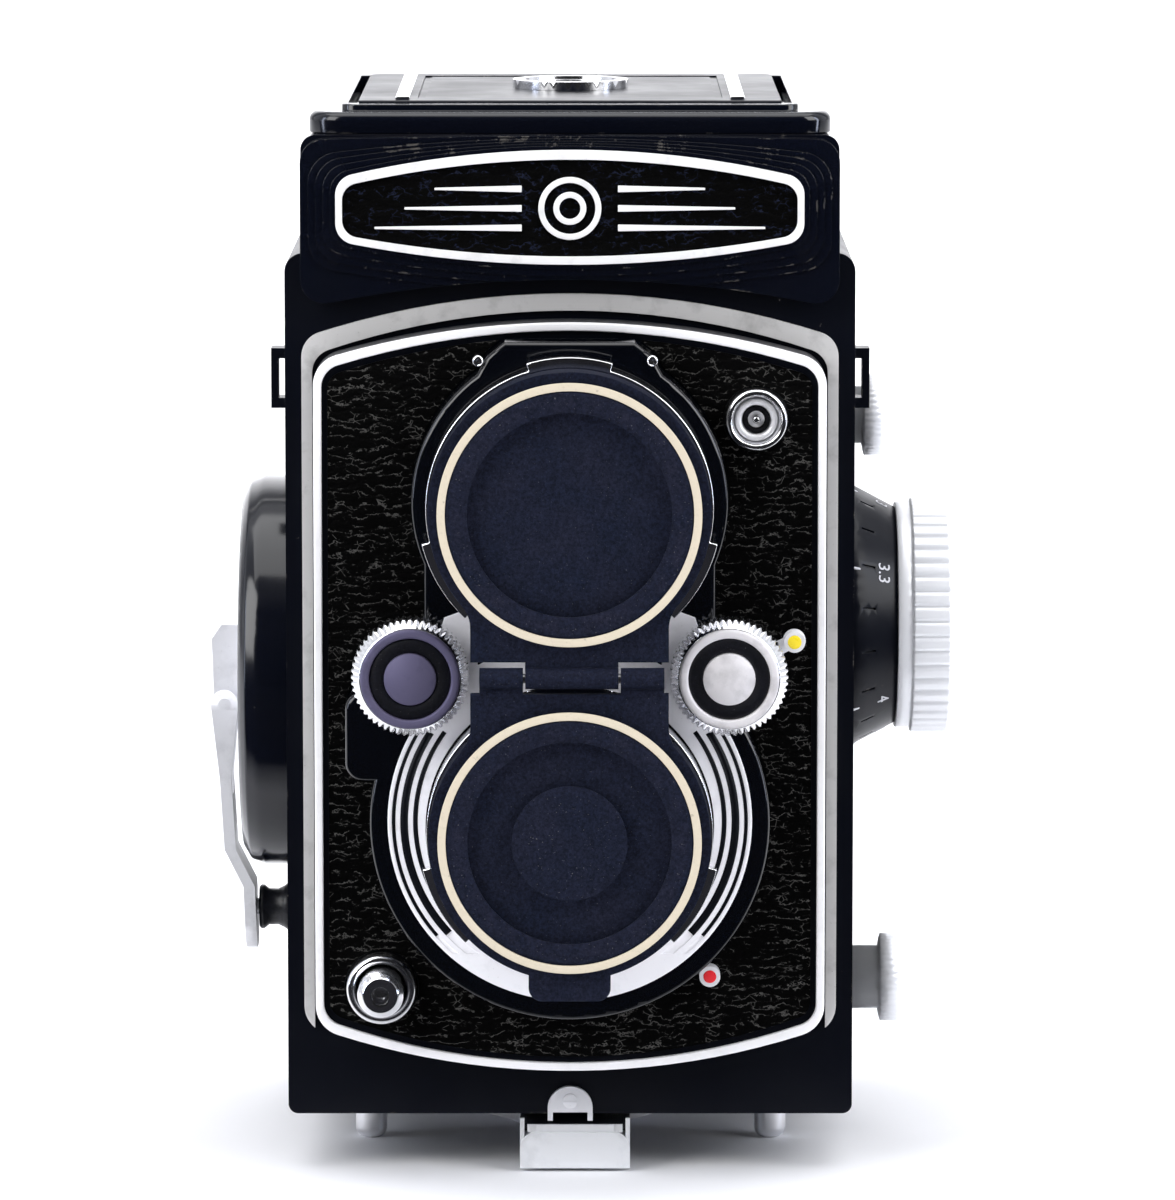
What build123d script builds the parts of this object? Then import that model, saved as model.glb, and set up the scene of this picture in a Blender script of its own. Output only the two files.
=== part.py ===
from build123d import *
import math
import os

# Twin lens reflex camera, millimetres. X runs to the right seen from the front, the lenses look
# along -Y and Z is up. The origin is the mouth of the tripod socket, on the plane of the feet.

# ---- Body ----------------------------------------------------------------------------------------
BODY_HALF = 38.2          # half width of the body over its side coverings
BODY_FRONT = -36.0        # front face
BODY_REAR = 30.0          # rear edge of the side walls, where the back door closes
BODY_BOTTOM = 7.6         # underside of the front wall and of the back door's floor
BODY_TOP = 124.6          # top face under the top housing
WALL = 1.6                # thickness of the die-cast walls
TUNNEL_TOP = 74.8         # top of the wall between the two chambers
LEATHER = 0.5             # thickness of the coverings
CORNER_R = 1.3            # rounding of the lower corners
RUN = 0.05                # radial clearance of shafts in bores
BAND_HALF = 35.95         # trim band's half width, and where it ends at the bottom
BAND_LOW = 18.6

# ---- Lens axes and front standard ----------------------------------------------------------------
VIEW_Z = 92.8             # viewing lens axis height
TAKE_Z = 49.5             # taking lens axis height
CAP_HINGE_Z = (VIEW_Z + TAKE_Z) / 2
PANEL_HALF = 34.15        # half width of the front standard
PANEL_FRONT = -43.2       # front face of the standard's panel, under its covering
PANEL_REAR = -37.2
HOUSING_FRONT = -52.0     # front face of the lens and shutter housing
BAYONET_FRONT = -58.5     # front face of the outer bayonet rings
RIM_FRONT = -60.5         # front edge of the inner lens rims
CAP_FRONT = -64.0         # front face of the lens caps
CAP_R = 18.6              # edge of a cap's flange
BAYONET_R = 18.95         # outer bayonet rings, and their three lugs
LUG_R = 20.0
GLASS_R = 12.6            # front lens elements
STRIPES = ((23.4, 0.45), (22.0, 1.0), (20.5, 0.6))    # grooves of the shutter plate, (radius, width)
TIMER_ANGLE = -48.4       # self timer knob at rest, seen from the front
TIMER_REACH = 28.2
TIMER_RING_R = 20.6
TIMER_FRONT = -45.2

TERMINAL = (24.8, 103.1)  # flash terminal and shutter release, as (x, z)
RELEASE = (-25.3, 26.4)
RELEASE_R = 3.1

WHEEL_X = 21.0            # thumb wheels beside the lenses
WHEEL_Z = 70.4
WHEEL_FRONT = -60.0
WHEEL_R = 7.8
WHEEL_TEETH = 60

# ---- Sides ---------------------------------------------------------------------------------------
FOCUS_Y, FOCUS_Z = -8.0, 72.2
CRANK_Y, CRANK_Z = -3.0, 63.8
CRANK_PIN_X, CRANK_PIN_Z = -48.0, 59.4
DIAL_LONG = 6.3           # length of the focus dial's cone
GRIP_R = 16.2
GRIP_TEETH = 48
DISH_R = 27.0
DISH_FACE = -45.2         # outer face of the crank dish
UPPER_SPOOL = (19.0, 97.1)    # spool axes as (y, z)
LOWER_SPOOL = (-5.0, 20.8)
SPOOL_HALF = 31.0         # half length of a spool
SPOOL_FLANGE_R = 11.2

# ---- Top and hood --------------------------------------------------------------------------------
HEAD_HALF = 36.0          # top housing half width
HEAD_FRONT = -40.0
HEAD_REAR = 33.0
HEAD_LOW = 117.3          # lowest edge of the housing's front lip
HEAD_TOP = 140.4
HOOD_HALF = 35.0
HOOD_TOP = 143.3
LEDGE_TOP = 144.2
OPEN_HALF = 29.8          # half width of the opening in the hood base
OPEN_FRONT, OPEN_REAR = -28.4, 32.4
LID_TOP = 144.7
LID_THICK = 0.8
LID_HALF = 28.4
LID_PIVOT = (-27.9, 144.1)    # lid hinge axis as (y, z)
FLAP_THICK = 0.6
FLAP_WIDE = 26.0
SIDE_FLAP_X, SIDE_FLAP_Z = 29.2, 141.5
BACK_FLAP_Y, BACK_FLAP_Z = 31.8, 140.75
MAGNIFIER_Y = -0.3

# ---- Back and bottom -----------------------------------------------------------------------------
DOOR_PIVOT = (35.6, 120.2)    # back door hinge axis as (y, z)
DOOR_FLOOR = (7.6, 9.0)
DOOR_BACK = (30.4, 32.0)
SOCKET_R = 3.175          # quarter inch tripod thread, half its outside diameter
SOCKET_DEEP = 6.5
LIP_MIDDLE, LIP_HALF = 0.65, 7.45     # the lock bar's lip sits a little right of the middle
FOOT_X, FOOT_FRONT, FOOT_REAR = 27.6, -14.0, 24.0
FOOT_R = 2.2


def front_plane(y):
    """Sketch plane facing forward: sketch x is X and sketch y is Z."""
    return Plane(origin=(0, y, 0), x_dir=(1, 0, 0), z_dir=(0, -1, 0))


def side_plane(x):
    """Sketch plane facing +X: sketch x is Y and sketch y is Z."""
    return Plane(origin=(x, 0, 0), x_dir=(0, 1, 0), z_dir=(1, 0, 0))


def slab_y(shape, front, rear):
    return extrude(front_plane(rear) * shape, rear - front)


def slab_x(shape, low, high):
    return extrude(side_plane(low) * shape, high - low)


def slab_z(shape, low, high):
    return extrude(Plane.XY.offset(low) * shape, high - low)


def disc_y(x, z, radius, front, rear):
    return slab_y(Pos(x, z) * Circle(radius), front, rear)


def ring_y(x, z, outer, inner, front, rear):
    return disc_y(x, z, outer, front, rear) - disc_y(x, z, inner, front - 1, rear + 1)


def disc_x(y, z, radius, low, high):
    return slab_x(Pos(y, z) * Circle(radius), low, high)


def disc_z(x, y, radius, low, high):
    return slab_z(Pos(x, y) * Circle(radius), low, high)


def block(x, y, z):
    """Box between three (low, high) pairs."""
    size = [pair[1] - pair[0] for pair in (x, y, z)]
    centre = [(pair[0] + pair[1]) / 2 for pair in (x, y, z)]
    return Pos(*centre) * Box(*size)


def arched(half, low, low_middle, high, high_middle, corner):
    """Panel outline with straight sides, bowed top and bottom edges and round corners."""
    edges = [
        ThreePointArc((-half, low), (0, low_middle), (half, low)),
        Line((half, low), (half, high)),
        ThreePointArc((half, high), (0, high_middle), (-half, high)),
        Line((-half, high), (-half, low)),
    ]
    face = Face(Wire(edges))
    return face.fillet_2d(corner, face.vertices())


def outline(*points):
    return make_face(Polyline(*points, close=True))


def toothed(radius, teeth, depth):
    """Knurled wheel outline: a circle with shallow round notches."""
    notch = Pos(radius + depth * 0.2, 0) * Circle(depth)
    notches = [Rot(0, 0, 360 * i / teeth) * notch for i in range(teeth)]
    return Circle(radius) - notches


def turned(points, centre, axis):
    """Solid of revolution from (distance along axis, radius) points about an axis through centre."""
    along = Vector(*axis)
    across = Vector(0, 0, 1)
    plane = Plane(origin=centre, x_dir=along, z_dir=along.cross(across))
    flip = 1 if plane.y_dir.Z > 0 else -1
    face = make_face(Polyline(*[(d, flip * r) for d, r in points], close=True))
    return revolve(plane * face, Axis(centre, along))


def lens_outline(grow=0.0):
    """Figure-8 outline of the lens housing, with the readout hump and the wheel ears."""
    upper = Pos(0, VIEW_Z) * Circle(21.0 + grow)
    lower = Pos(0, TAKE_Z + 0.5) * Circle(26.6 + grow)
    waist = Pos(0, 74) * Rectangle(2 * (19.3 + grow), 28)
    hump = outline((-16 - grow, 103), (-11 - grow, 112.2), (-8.6 - grow, 114.1 + grow),
                   (8.6 + grow, 114.1 + grow), (11 + grow, 112.2), (16 + grow, 103))
    shape = upper + lower + waist + hump
    for side in (-1, 1):
        shape += Pos(side * WHEEL_X, WHEEL_Z) * Circle(6.0 + grow)
    ear = Pos(-25.6, 61.6) * RectangleRounded(8.4 + 2 * grow, 12.0 + 2 * grow, 2.4)
    return shape + ear


# ---- Body parts ----------------------------------------------------------------------------------

def body_shell():
    """Casting: front wall, two side walls and top, open at the rear and below for the back door."""
    side = BODY_HALF - LEATHER
    outer = block((-BODY_HALF, BODY_HALF), (BODY_FRONT, BODY_REAR), (BODY_BOTTOM, BODY_TOP))
    outer = fillet(outer.edges().filter_by(Axis.Y).group_by(Axis.Z)[-1], 2.5)
    outer = fillet(outer.edges().filter_by(Axis.Y).group_by(Axis.Z)[0], CORNER_R)
    outer -= block((-BODY_HALF + WALL + LEATHER, BODY_HALF - WALL - LEATHER),
                   (BODY_FRONT + WALL, BODY_REAR + 1), (BODY_BOTTOM - 1, BODY_TOP - WALL))
    # The side walls stop above the door's floor, behind the front wall.
    floor_room = DOOR_FLOOR[1] + 0.3
    outer -= block((-BODY_HALF - 1, BODY_HALF + 1), (BODY_FRONT + WALL, BODY_REAR + 1),
                   (BODY_BOTTOM - 1, floor_room))
    # Recesses for the side coverings.
    for sign in (-1, 1):
        low, high = sorted((sign * side, sign * (BODY_HALF + 1)))
        outer -= slab_x(Pos(-3, 66) * RectangleRounded(62, 108, 3), low, high)
    # Mirror chamber opening in the top, lens openings in the front, shaft holes in the sides.
    outer -= block((-29, 29), (-30, 26), (BODY_TOP - WALL - 1, BODY_TOP + 1))
    outer -= disc_y(0, VIEW_Z, 18.5, BODY_FRONT - 1, BODY_FRONT + WALL + 1)
    outer -= disc_y(0, TAKE_Z, 18.5, BODY_FRONT - 1, BODY_FRONT + WALL + 1)
    for x in (-30, 30):
        for z in (34, 104):
            outer -= disc_y(x, z, 1.8 + RUN, BODY_FRONT - 1, BODY_FRONT + WALL + 1)
    outer -= disc_x(FOCUS_Y, FOCUS_Z, 3 + RUN, 30, 40)
    outer -= disc_x(CRANK_Y, CRANK_Z, 2.5 + RUN, -40, -30)
    for y, z in (UPPER_SPOOL, LOWER_SPOOL):
        outer -= disc_x(y, z, 2 + RUN, 30, 40)
    # Light tunnel walls between the taking lens and the film gate, and the mirror's rest.
    inner = BODY_HALF - WALL - LEATHER
    outer += block((-inner, inner), (BODY_FRONT + WALL, 27), (TUNNEL_TOP - WALL, TUNNEL_TOP))
    gate = block((-inner, inner), (24, 26), (20, TUNNEL_TOP))
    gate -= block((-28, 28), (20, 30), (22, 73))
    outer += gate
    mirror_rest = Pos(0, -3, VIEW_Z) * Rot(45, 0, 0) * Box(2 * inner + 0.4, 74, 1.2)
    mirror_rest &= block((-inner - 0.2, inner + 0.2), (BODY_FRONT + WALL, 28),
                         (TUNNEL_TOP - 0.2, BODY_TOP - WALL))
    outer += mirror_rest
    # Rear wall above the door, and room for the focus cam.
    outer += block((-inner - 0.2, inner + 0.2), (BODY_REAR - WALL, BODY_REAR), (116.9, BODY_TOP))
    outer -= disc_x(FOCUS_Y, FOCUS_Z, 4.8, 18, inner)
    # Hinge lugs for the back door at the top rear edge.
    y, z = DOOR_PIVOT
    for x in (-22, 22):
        lug = block((x - 4, x + 4), (BODY_REAR - 1, y), (z - 1.6, z + 1.6))
        lug += disc_x(y, z, 1.6, x - 4, x + 4)
        outer += lug - disc_x(y, z, 0.8, x - 5, x + 5)
    return outer


def side_leather():
    """Two coverings set into the side walls, cut round whatever stands on them."""
    sheets = []
    for sign in (-1, 1):
        low, high = sorted((sign * (BODY_HALF - LEATHER), sign * BODY_HALF))
        sheet = slab_x(Pos(-3, 66) * RectangleRounded(61.6, 107.6, 2.8), low, high)
        if sign > 0:
            sheet -= disc_x(FOCUS_Y, FOCUS_Z, 18.4, 30, 40)
            for y, z in (UPPER_SPOOL, LOWER_SPOOL):
                sheet -= disc_x(y, z, 5.2, 30, 40)
        else:
            sheet -= disc_x(CRANK_Y, CRANK_Z, DISH_R, -40, -30)
        sheet -= block(tuple(sorted((sign * 30, sign * 40))), (-20.1, -11.9), (100.9, 111.1))
        sheets.append(sheet)
    return Compound(children=sheets)


def trim_band():
    """Satin metal band that frames the front on three sides, tapering away near the bottom."""
    band = arched(BAND_HALF, 0, -4, 113.2, 119.25, 3.4)
    band -= arched(BAND_HALF - 1.45, -6, -10, 110.9, 116.95, 3.2)
    band &= Pos(0, BAND_LOW + 90) * RectangleRounded(2 * BAND_HALF, 180, 4)
    return slab_y(band, BODY_FRONT - 0.8, BODY_FRONT)


def catch_tab():
    """Catch plate on the front wall with its screw head and two small legs."""
    plate = Pos(0, 8.4) * Circle(3.05)
    plate &= Pos(0, 10.6) * Rectangle(8, 5)
    plate += Pos(0, 8.2) * Rectangle(6.1, 0.6)
    for sign in (-1, 1):
        plate += Pos(sign * 2.7, 7.4) * Rectangle(0.7, 1.3)
    tab = slab_y(plate, BODY_FRONT - 0.9, BODY_FRONT)
    screw = disc_y(0, 9.5, 1.0, BODY_FRONT - 1.3, BODY_FRONT - 0.9)
    slot = block((-1.2, 1.2), (BODY_FRONT - 1.5, BODY_FRONT - 1.1), (9.4, 9.6))
    return Compound(children=[tab, screw - slot])


def strap_lugs():
    """Two strap lugs, one on each side, each a plate with a slotted bar."""
    lugs = []
    for sign in (-1, 1):
        plate_side = sign * (BODY_HALF - LEATHER)
        low, high = sorted((plate_side, sign * (BODY_HALF + 0.6)))
        lug = slab_x(Pos(-16, 106) * RectangleRounded(8, 10, 1.5), low, high)
        low, high = sorted((sign * (BODY_HALF + 0.6), sign * (BODY_HALF + 2.6)))
        for z in (102.6, 109.4):
            lug += block((low, high), (-18, -14), (z - 0.7, z + 0.7))
        low, high = sorted((sign * (BODY_HALF + 1.6), sign * (BODY_HALF + 2.6)))
        lug += block((low, high), (-18, -14), (102.6, 109.4))
        lugs.append(lug)
    return Compound(children=lugs)


def crank_dish():
    """Round black dish with a recessed face that the crank turns over."""
    depth = -DISH_FACE - (BODY_HALF - LEATHER)
    profile = [(0, 0), (0, DISH_R), (depth - 3, DISH_R), (depth - 1, DISH_R - 0.7),
               (depth, DISH_R - 2.4), (depth, DISH_R - 3.4), (depth - 2, DISH_R - 4.2), (depth - 2, 0)]
    dish = turned(profile, (-(BODY_HALF - LEATHER), CRANK_Y, CRANK_Z), (-1, 0, 0))
    return dish - disc_x(CRANK_Y, CRANK_Z, 2.5 + RUN, -50, -30)


def top_housing():
    """Mirror box cover: a hollow head whose front lip hangs over the body and carries the nameplate."""
    base = arched(HEAD_HALF, HEAD_LOW, HEAD_LOW + 4.0, HEAD_TOP - 0.5, HEAD_TOP, 3.2)
    lip_front = HEAD_FRONT + 1.6
    shape = slab_y(base, lip_front, BODY_FRONT)
    cover = block((-HEAD_HALF, HEAD_HALF), (BODY_FRONT, HEAD_REAR), (BODY_TOP, HEAD_TOP))
    shape += fillet(cover.edges().filter_by(Axis.Y).group_by(Axis.Z)[-1], 2)
    shape = fillet(shape.edges().filter_by(Axis.Z).group_by(Axis.Y)[-1], 4)
    # Stepped frame round the nameplate: each step is smaller and stands further forward.
    for grow in (3, 2, 1, 0):
        step = arched(31.9 + grow, 126.1 - grow, 122.8 - grow, 135.4 + 0.8 * grow, 139.2 + 0.3 * grow,
                      3 + 0.4 * grow)
        shape += slab_y(step & base, HEAD_FRONT + 0.4 * grow, lip_front + 0.1)
    shape -= slab_y(arched(30.4, 127.2, 124.4, 133.9, 137.4, 2.4), HEAD_FRONT - 1, HEAD_FRONT + 0.6)
    # Hollow: the light path from the mirror to the focusing screen.
    shape -= block((-29, 29), (-30, 26), (BODY_TOP - 1, HEAD_TOP + 1))
    shape -= block((-30.2, 30.2), (-28.6, 28.2), (HEAD_TOP - 2.4, HEAD_TOP + 1))
    # Room at the rear for the back door's hinge barrel.
    y, z = DOOR_PIVOT
    shape -= block((-40, 40), (BODY_REAR + 0.3, HEAD_REAR + 1), (BODY_TOP - 1, z + 5.6))
    return shape


def nameplate_panel():
    return slab_y(arched(30.3, 127.3, 124.5, 133.8, 137.3, 2.3), HEAD_FRONT + 0.1, HEAD_FRONT + 0.6)


def nameplate_trim():
    """Bright frame round the nameplate, and a plain ornament of two rings and tapering bars."""
    frame = slab_y(arched(31.2, 126.6, 123.4, 134.9, 138.7, 2.8)
                   - arched(30.3, 127.4, 124.5, 133.8, 137.4, 2.3),
                   HEAD_FRONT - 0.5, HEAD_FRONT)
    middle = (124.5 + 137.3) / 2
    ornament = [frame]
    for radius in (4.2, 2.2):
        ornament.append(ring_y(0, middle, radius, radius - 0.8, HEAD_FRONT - 0.3, HEAD_FRONT + 0.1))
    for sign in (-1, 1):
        for i, reach in enumerate((26, 22, 18)):
            z = middle + (i - 1) * 2.6
            bar = outline((sign * 6.4, z - 0.45), (sign * reach, z - 0.15),
                          (sign * reach, z + 0.15), (sign * 6.4, z + 0.45))
            ornament.append(slab_y(bar, HEAD_FRONT - 0.3, HEAD_FRONT + 0.1))
    return Compound(children=ornament)


def reflex_mirror():
    """Surface-coated mirror at 45 degrees behind the viewing lens."""
    return Pos(0, -3, VIEW_Z) * Rot(45, 0, 0) * Pos(0, 3, 1.22) * Box(52, 52, 1.2)


def focusing_screen():
    return block((-30, 30), (-28.4, 28), (HEAD_TOP - 2.4, HEAD_TOP - 0.8))


def hood_base():
    """Frame on the top housing that the hood folds into, with a raised ledge round the opening."""
    base = block((-HOOD_HALF, HOOD_HALF), (-34.5, 35.4), (HEAD_TOP, HOOD_TOP))
    base = fillet(base.edges().filter_by(Axis.Z), 5)
    base = fillet(base.faces().sort_by(Axis.Z)[-1].edges(), 1.2)
    ledge = block((-30.6, 30.6), (-31.6, 34.0), (HOOD_TOP - 0.5, LEDGE_TOP))
    base += fillet(ledge.edges().filter_by(Axis.Z), 2)
    base -= block((-OPEN_HALF, OPEN_HALF), (OPEN_FRONT, OPEN_REAR), (HEAD_TOP - 1, LEDGE_TOP + 1))
    return base


def back_hinge_pin():
    y, z = DOOR_PIVOT
    return disc_x(y, z, 0.8 - RUN, -26, 26)


# ---- Focus knob ----------------------------------------------------------------------------------

def focus_dial():
    """Black cone that carries the distance scale."""
    profile = [(0, 3), (0, 17.8), (0.8, 17.8), (DIAL_LONG, 14.9), (DIAL_LONG, 3)]
    cone = turned(profile, (BODY_HALF + 0.2, FOCUS_Y, FOCUS_Z), (1, 0, 0))
    for i in range(18):
        mark = Pos(BODY_HALF + 2.4, 0, 16.9) * Rot(0, 28, 0) * Box(2.0, 0.3, 0.4)
        cone -= Pos(0, FOCUS_Y, FOCUS_Z) * Rot(20 * i, 0, 0) * mark
    return cone


def focus_grip():
    """Knurled focus knob with a smooth band behind the knurl and a domed end."""
    start = BODY_HALF + 0.2 + DIAL_LONG
    band = disc_x(FOCUS_Y, FOCUS_Z, GRIP_R - 0.6, start, start + 2.1)
    knurl = slab_x(Pos(FOCUS_Y, FOCUS_Z) * toothed(GRIP_R, GRIP_TEETH, 0.5), start + 2.1, start + 7.6)
    end = turned([(0, 0), (0, GRIP_R - 1.2), (0.9, GRIP_R - 2.6), (0.9, 12.2), (1.5, 11.6), (1.5, 0)],
                 (start + 7.6, FOCUS_Y, FOCUS_Z), (1, 0, 0))
    return band + knurl + end - disc_x(FOCUS_Y, FOCUS_Z, 3, start - 1, start + 4)


def focus_shaft():
    """Shaft of the focus knob with the cam that pushes the front standard."""
    shaft = disc_x(FOCUS_Y, FOCUS_Z, 3, 20, BODY_HALF + DIAL_LONG + 4.2)
    return shaft + disc_x(FOCUS_Y, FOCUS_Z, 4.2, 20, 23)


# ---- Front standard ------------------------------------------------------------------------------

def panel_outline(shrink=0.0):
    return arched(PANEL_HALF - shrink, 20.9 + shrink, 15.0 + shrink, 110.7 - shrink, 116.0 - shrink,
                  max(4.2 - shrink, 1.5))


def front_plate():
    """Panel of the front standard, with four guide posts that run in the body's front wall."""
    plate = slab_y(panel_outline(0.9), PANEL_FRONT, PANEL_REAR)
    plate -= slab_y(panel_outline(2.6), PANEL_FRONT + 1.6, PANEL_REAR + 1)
    plate -= disc_y(0, VIEW_Z, 17.6, PANEL_FRONT - 1, PANEL_REAR + 1)
    plate -= disc_y(0, TAKE_Z, 17.6, PANEL_FRONT - 1, PANEL_REAR + 1)
    plate -= disc_y(RELEASE[0], RELEASE[1], RELEASE_R + RUN, PANEL_FRONT - 1, PANEL_REAR + 1)
    for x in (-30, 30):
        for z in (34, 104):
            plate += disc_y(x, z, 1.8, PANEL_FRONT + 1.6, BODY_FRONT + 16)
    return plate


def front_rim():
    """Bright satin rim round the panel."""
    rim = slab_y(panel_outline() - panel_outline(1.1), PANEL_FRONT - 0.9, PANEL_FRONT)
    rim += slab_y(panel_outline() - panel_outline(0.9), PANEL_FRONT, PANEL_REAR)
    return rim


def front_leather():
    sheet = panel_outline(1.9) - lens_outline(0.15)
    sheet -= Pos(*TERMINAL) * Circle(4.45)
    sheet -= Pos(*RELEASE) * Circle(5.05)
    return slab_y(sheet, PANEL_FRONT - LEATHER, PANEL_FRONT)


def lens_housing():
    """Figure-8 housing of the two lenses and the shutter, hollow behind its front face."""
    shape = slab_y(lens_outline(), HOUSING_FRONT, PANEL_FRONT)
    shape = fillet(shape.faces().sort_by(Axis.Y)[0].edges(), 0.8)
    shape -= disc_y(0, VIEW_Z, 17.6, HOUSING_FRONT - 1, PANEL_FRONT + 1)
    shape -= disc_y(0, TAKE_Z, 17.6, HOUSING_FRONT - 1, PANEL_FRONT + 1)
    # Window that shows the set aperture and speed, on the bevel of the hump.
    shape -= block((-6.4, 6.4), (HOUSING_FRONT + 2.4, HOUSING_FRONT + 5.4), (113.5, 116))
    # Bores for the wheel spindles.
    for sign in (-1, 1):
        shape -= disc_y(sign * WHEEL_X, WHEEL_Z, 2.2 + RUN, HOUSING_FRONT - 1, PANEL_FRONT + 1)
    # Room behind the housing for the self timer's ring and for the sweep of its arm.
    shape -= ring_y(0, TAKE_Z, TIMER_RING_R + 0.4, 17.5, TIMER_FRONT - 0.4, PANEL_FRONT + 1)
    first = math.radians(TIMER_ANGLE)
    last = first - math.radians(45)
    turns = [first + (last - first) * i / 6 for i in range(7)]
    sweep = outline((0, 0), *[(40 * math.cos(a), 40 * math.sin(a)) for a in turns])
    for angle in (first, last):
        sweep += Rot(0, 0, math.degrees(angle)) * Pos(20, 0) * Rectangle(40, 2.8)
    sweep -= Circle(17.5)
    return shape - slab_y(Pos(0, TAKE_Z) * sweep, TIMER_FRONT - 0.4, PANEL_FRONT + 1)


def shutter_plate():
    """Bright face plate round the taking lens, rising at both sides towards the wheels."""
    crescent = Pos(0, TAKE_Z + 0.8) * Circle(24.2)
    for sign in (-1, 1):
        horn = outline((sign * 23, 56), (sign * 16.6, 77.6), (sign * 12.2, 79.2), (sign * 12.2, 60))
        crescent += horn
    crescent -= Pos(0, TAKE_Z) * Circle(BAYONET_R + 0.2)
    crescent -= Pos(0, VIEW_Z) * Circle(BAYONET_R + 0.2)
    for sign in (-1, 1):
        crescent -= Pos(sign * WHEEL_X, WHEEL_Z) * Circle(3.0)
    plate = slab_y(crescent, HOUSING_FRONT - 0.4, HOUSING_FRONT)
    for radius, width in STRIPES:
        groove = Pos(0, TAKE_Z + 0.8) * (Circle(radius + width / 2) - Circle(radius - width / 2))
        groove -= Pos(0, TAKE_Z - 28) * Rectangle(60, 22)
        groove -= Pos(0, TAKE_Z + 24) * Rectangle(60, 24)
        plate -= slab_y(groove, HOUSING_FRONT - 1, HOUSING_FRONT - 0.25)
    return plate


def lens_barrel(z, rear):
    """Barrel from the lens rim back into the body."""
    barrel = ring_y(0, z, 17.5, 15.4, BAYONET_FRONT + 0.4, rear)
    barrel += ring_y(0, z, 16.2, 14.6, RIM_FRONT, BAYONET_FRONT + 0.6)
    cone = turned([(0, 14.7), (0, 13.6), (1.4, GLASS_R), (5.8, GLASS_R), (5.8, 15.5), (1.4, 15.5)],
                  (0, BAYONET_FRONT + 0.6, z), (0, 1, 0))
    return barrel + cone


def bayonet_ring(z):
    """Bright bayonet ring round a lens, with three lugs on its front edge."""
    ring = ring_y(0, z, BAYONET_R, 17.5, BAYONET_FRONT, HOUSING_FRONT - 0.4)
    ring += ring_y(0, z, 18.0, 16.25, BAYONET_FRONT, BAYONET_FRONT + 0.4)
    half = math.radians(16.5)
    for angle in (90, 210, 330):
        wedge = outline((0, 0), (24, -24 * math.tan(half)), (24, 24 * math.tan(half)))
        lug = Rot(0, 0, angle) * (wedge & Circle(LUG_R) - Circle(BAYONET_R - 0.4))
        ring += slab_y(Pos(0, z) * lug, BAYONET_FRONT, BAYONET_FRONT + 2.2)
    return ring


def lens_glass(z):
    """Domed front element."""
    front, dome_r = BAYONET_FRONT + 0.9, 26.0
    dome = Pos(0, front + dome_r, z) * Sphere(dome_r)
    return dome & disc_y(0, z, GLASS_R, front - 1, front + 5.0)


def shutter_blades():
    """Five closed blades behind the taking lens."""
    blades = []
    for i in range(5):
        wedge = outline((0, 0), (11, -7.85), (13.6, 0), (11, 7.85))
        wedge &= Circle(12.5)
        wedge = Pos(0, TAKE_Z) * Rot(0, 0, 72 * i) * Pos(0.12, 0) * wedge
        blades.append(slab_y(wedge, -47.2, -46.9))
    ring = ring_y(0, TAKE_Z, 15.4, 11.6, -46.9, -45.4)
    return Compound(children=blades + [ring])


def sync_terminal():
    """Coaxial flash terminal: outer collar, insulated well and centre pin."""
    x, z = TERMINAL
    collar = ring_y(x, z, 4.3, 2.9, PANEL_FRONT - 2.4, PANEL_FRONT)
    collar += ring_y(x, z, 2.9, 1.7, PANEL_FRONT - 1.4, PANEL_FRONT)
    collar += disc_y(x, z, 1.7, PANEL_FRONT - 0.5, PANEL_FRONT)
    return collar + disc_y(x, z, 0.6, PANEL_FRONT - 1.6, PANEL_FRONT - 0.5)


def release_collar():
    return ring_y(RELEASE[0], RELEASE[1], 4.9, RELEASE_R + RUN, PANEL_FRONT - 3.0, PANEL_FRONT)


def release_button():
    """Shutter release with a threaded recess for a cable."""
    profile = [(-1.2, 0), (-1.2, RELEASE_R), (6.4, RELEASE_R), (7.2, 2.3), (7.2, 1.2), (2.2, 1.2), (2.2, 0)]
    return turned(profile, (RELEASE[0], PANEL_FRONT, RELEASE[1]), (0, -1, 0))


def thumb_wheel(sign):
    """Knurled thumb wheel with a raised inner ring, a spindle and a round cap."""
    x, z = sign * WHEEL_X, WHEEL_Z
    knurl = slab_y(Pos(x, z) * toothed(WHEEL_R, WHEEL_TEETH, 0.3), WHEEL_FRONT + 1.6, WHEEL_FRONT + 6.2)
    rim = turned([(0, 0), (0, 6.9), (-1.0, 6.3), (-1.6, 6.2), (-1.6, 5.6), (-0.9, 5.6), (-0.9, 0)],
                 (x, WHEEL_FRONT + 1.6, z), (0, 1, 0))
    spindle = disc_y(x, z, 2.2, WHEEL_FRONT + 6.0, PANEL_FRONT - 2)
    return knurl + rim + spindle


def wheel_cap(sign):
    """Cap in the middle of a wheel: a black ring and a plain disc."""
    x, z = sign * WHEEL_X, WHEEL_Z
    ring = ring_y(x, z, 5.5, 3.6, WHEEL_FRONT + 0.15, WHEEL_FRONT + 0.7)
    disc = disc_y(x, z, 3.5, WHEEL_FRONT + 0.0, WHEEL_FRONT + 0.7)
    return Compound(children=[ring, disc])


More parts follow.
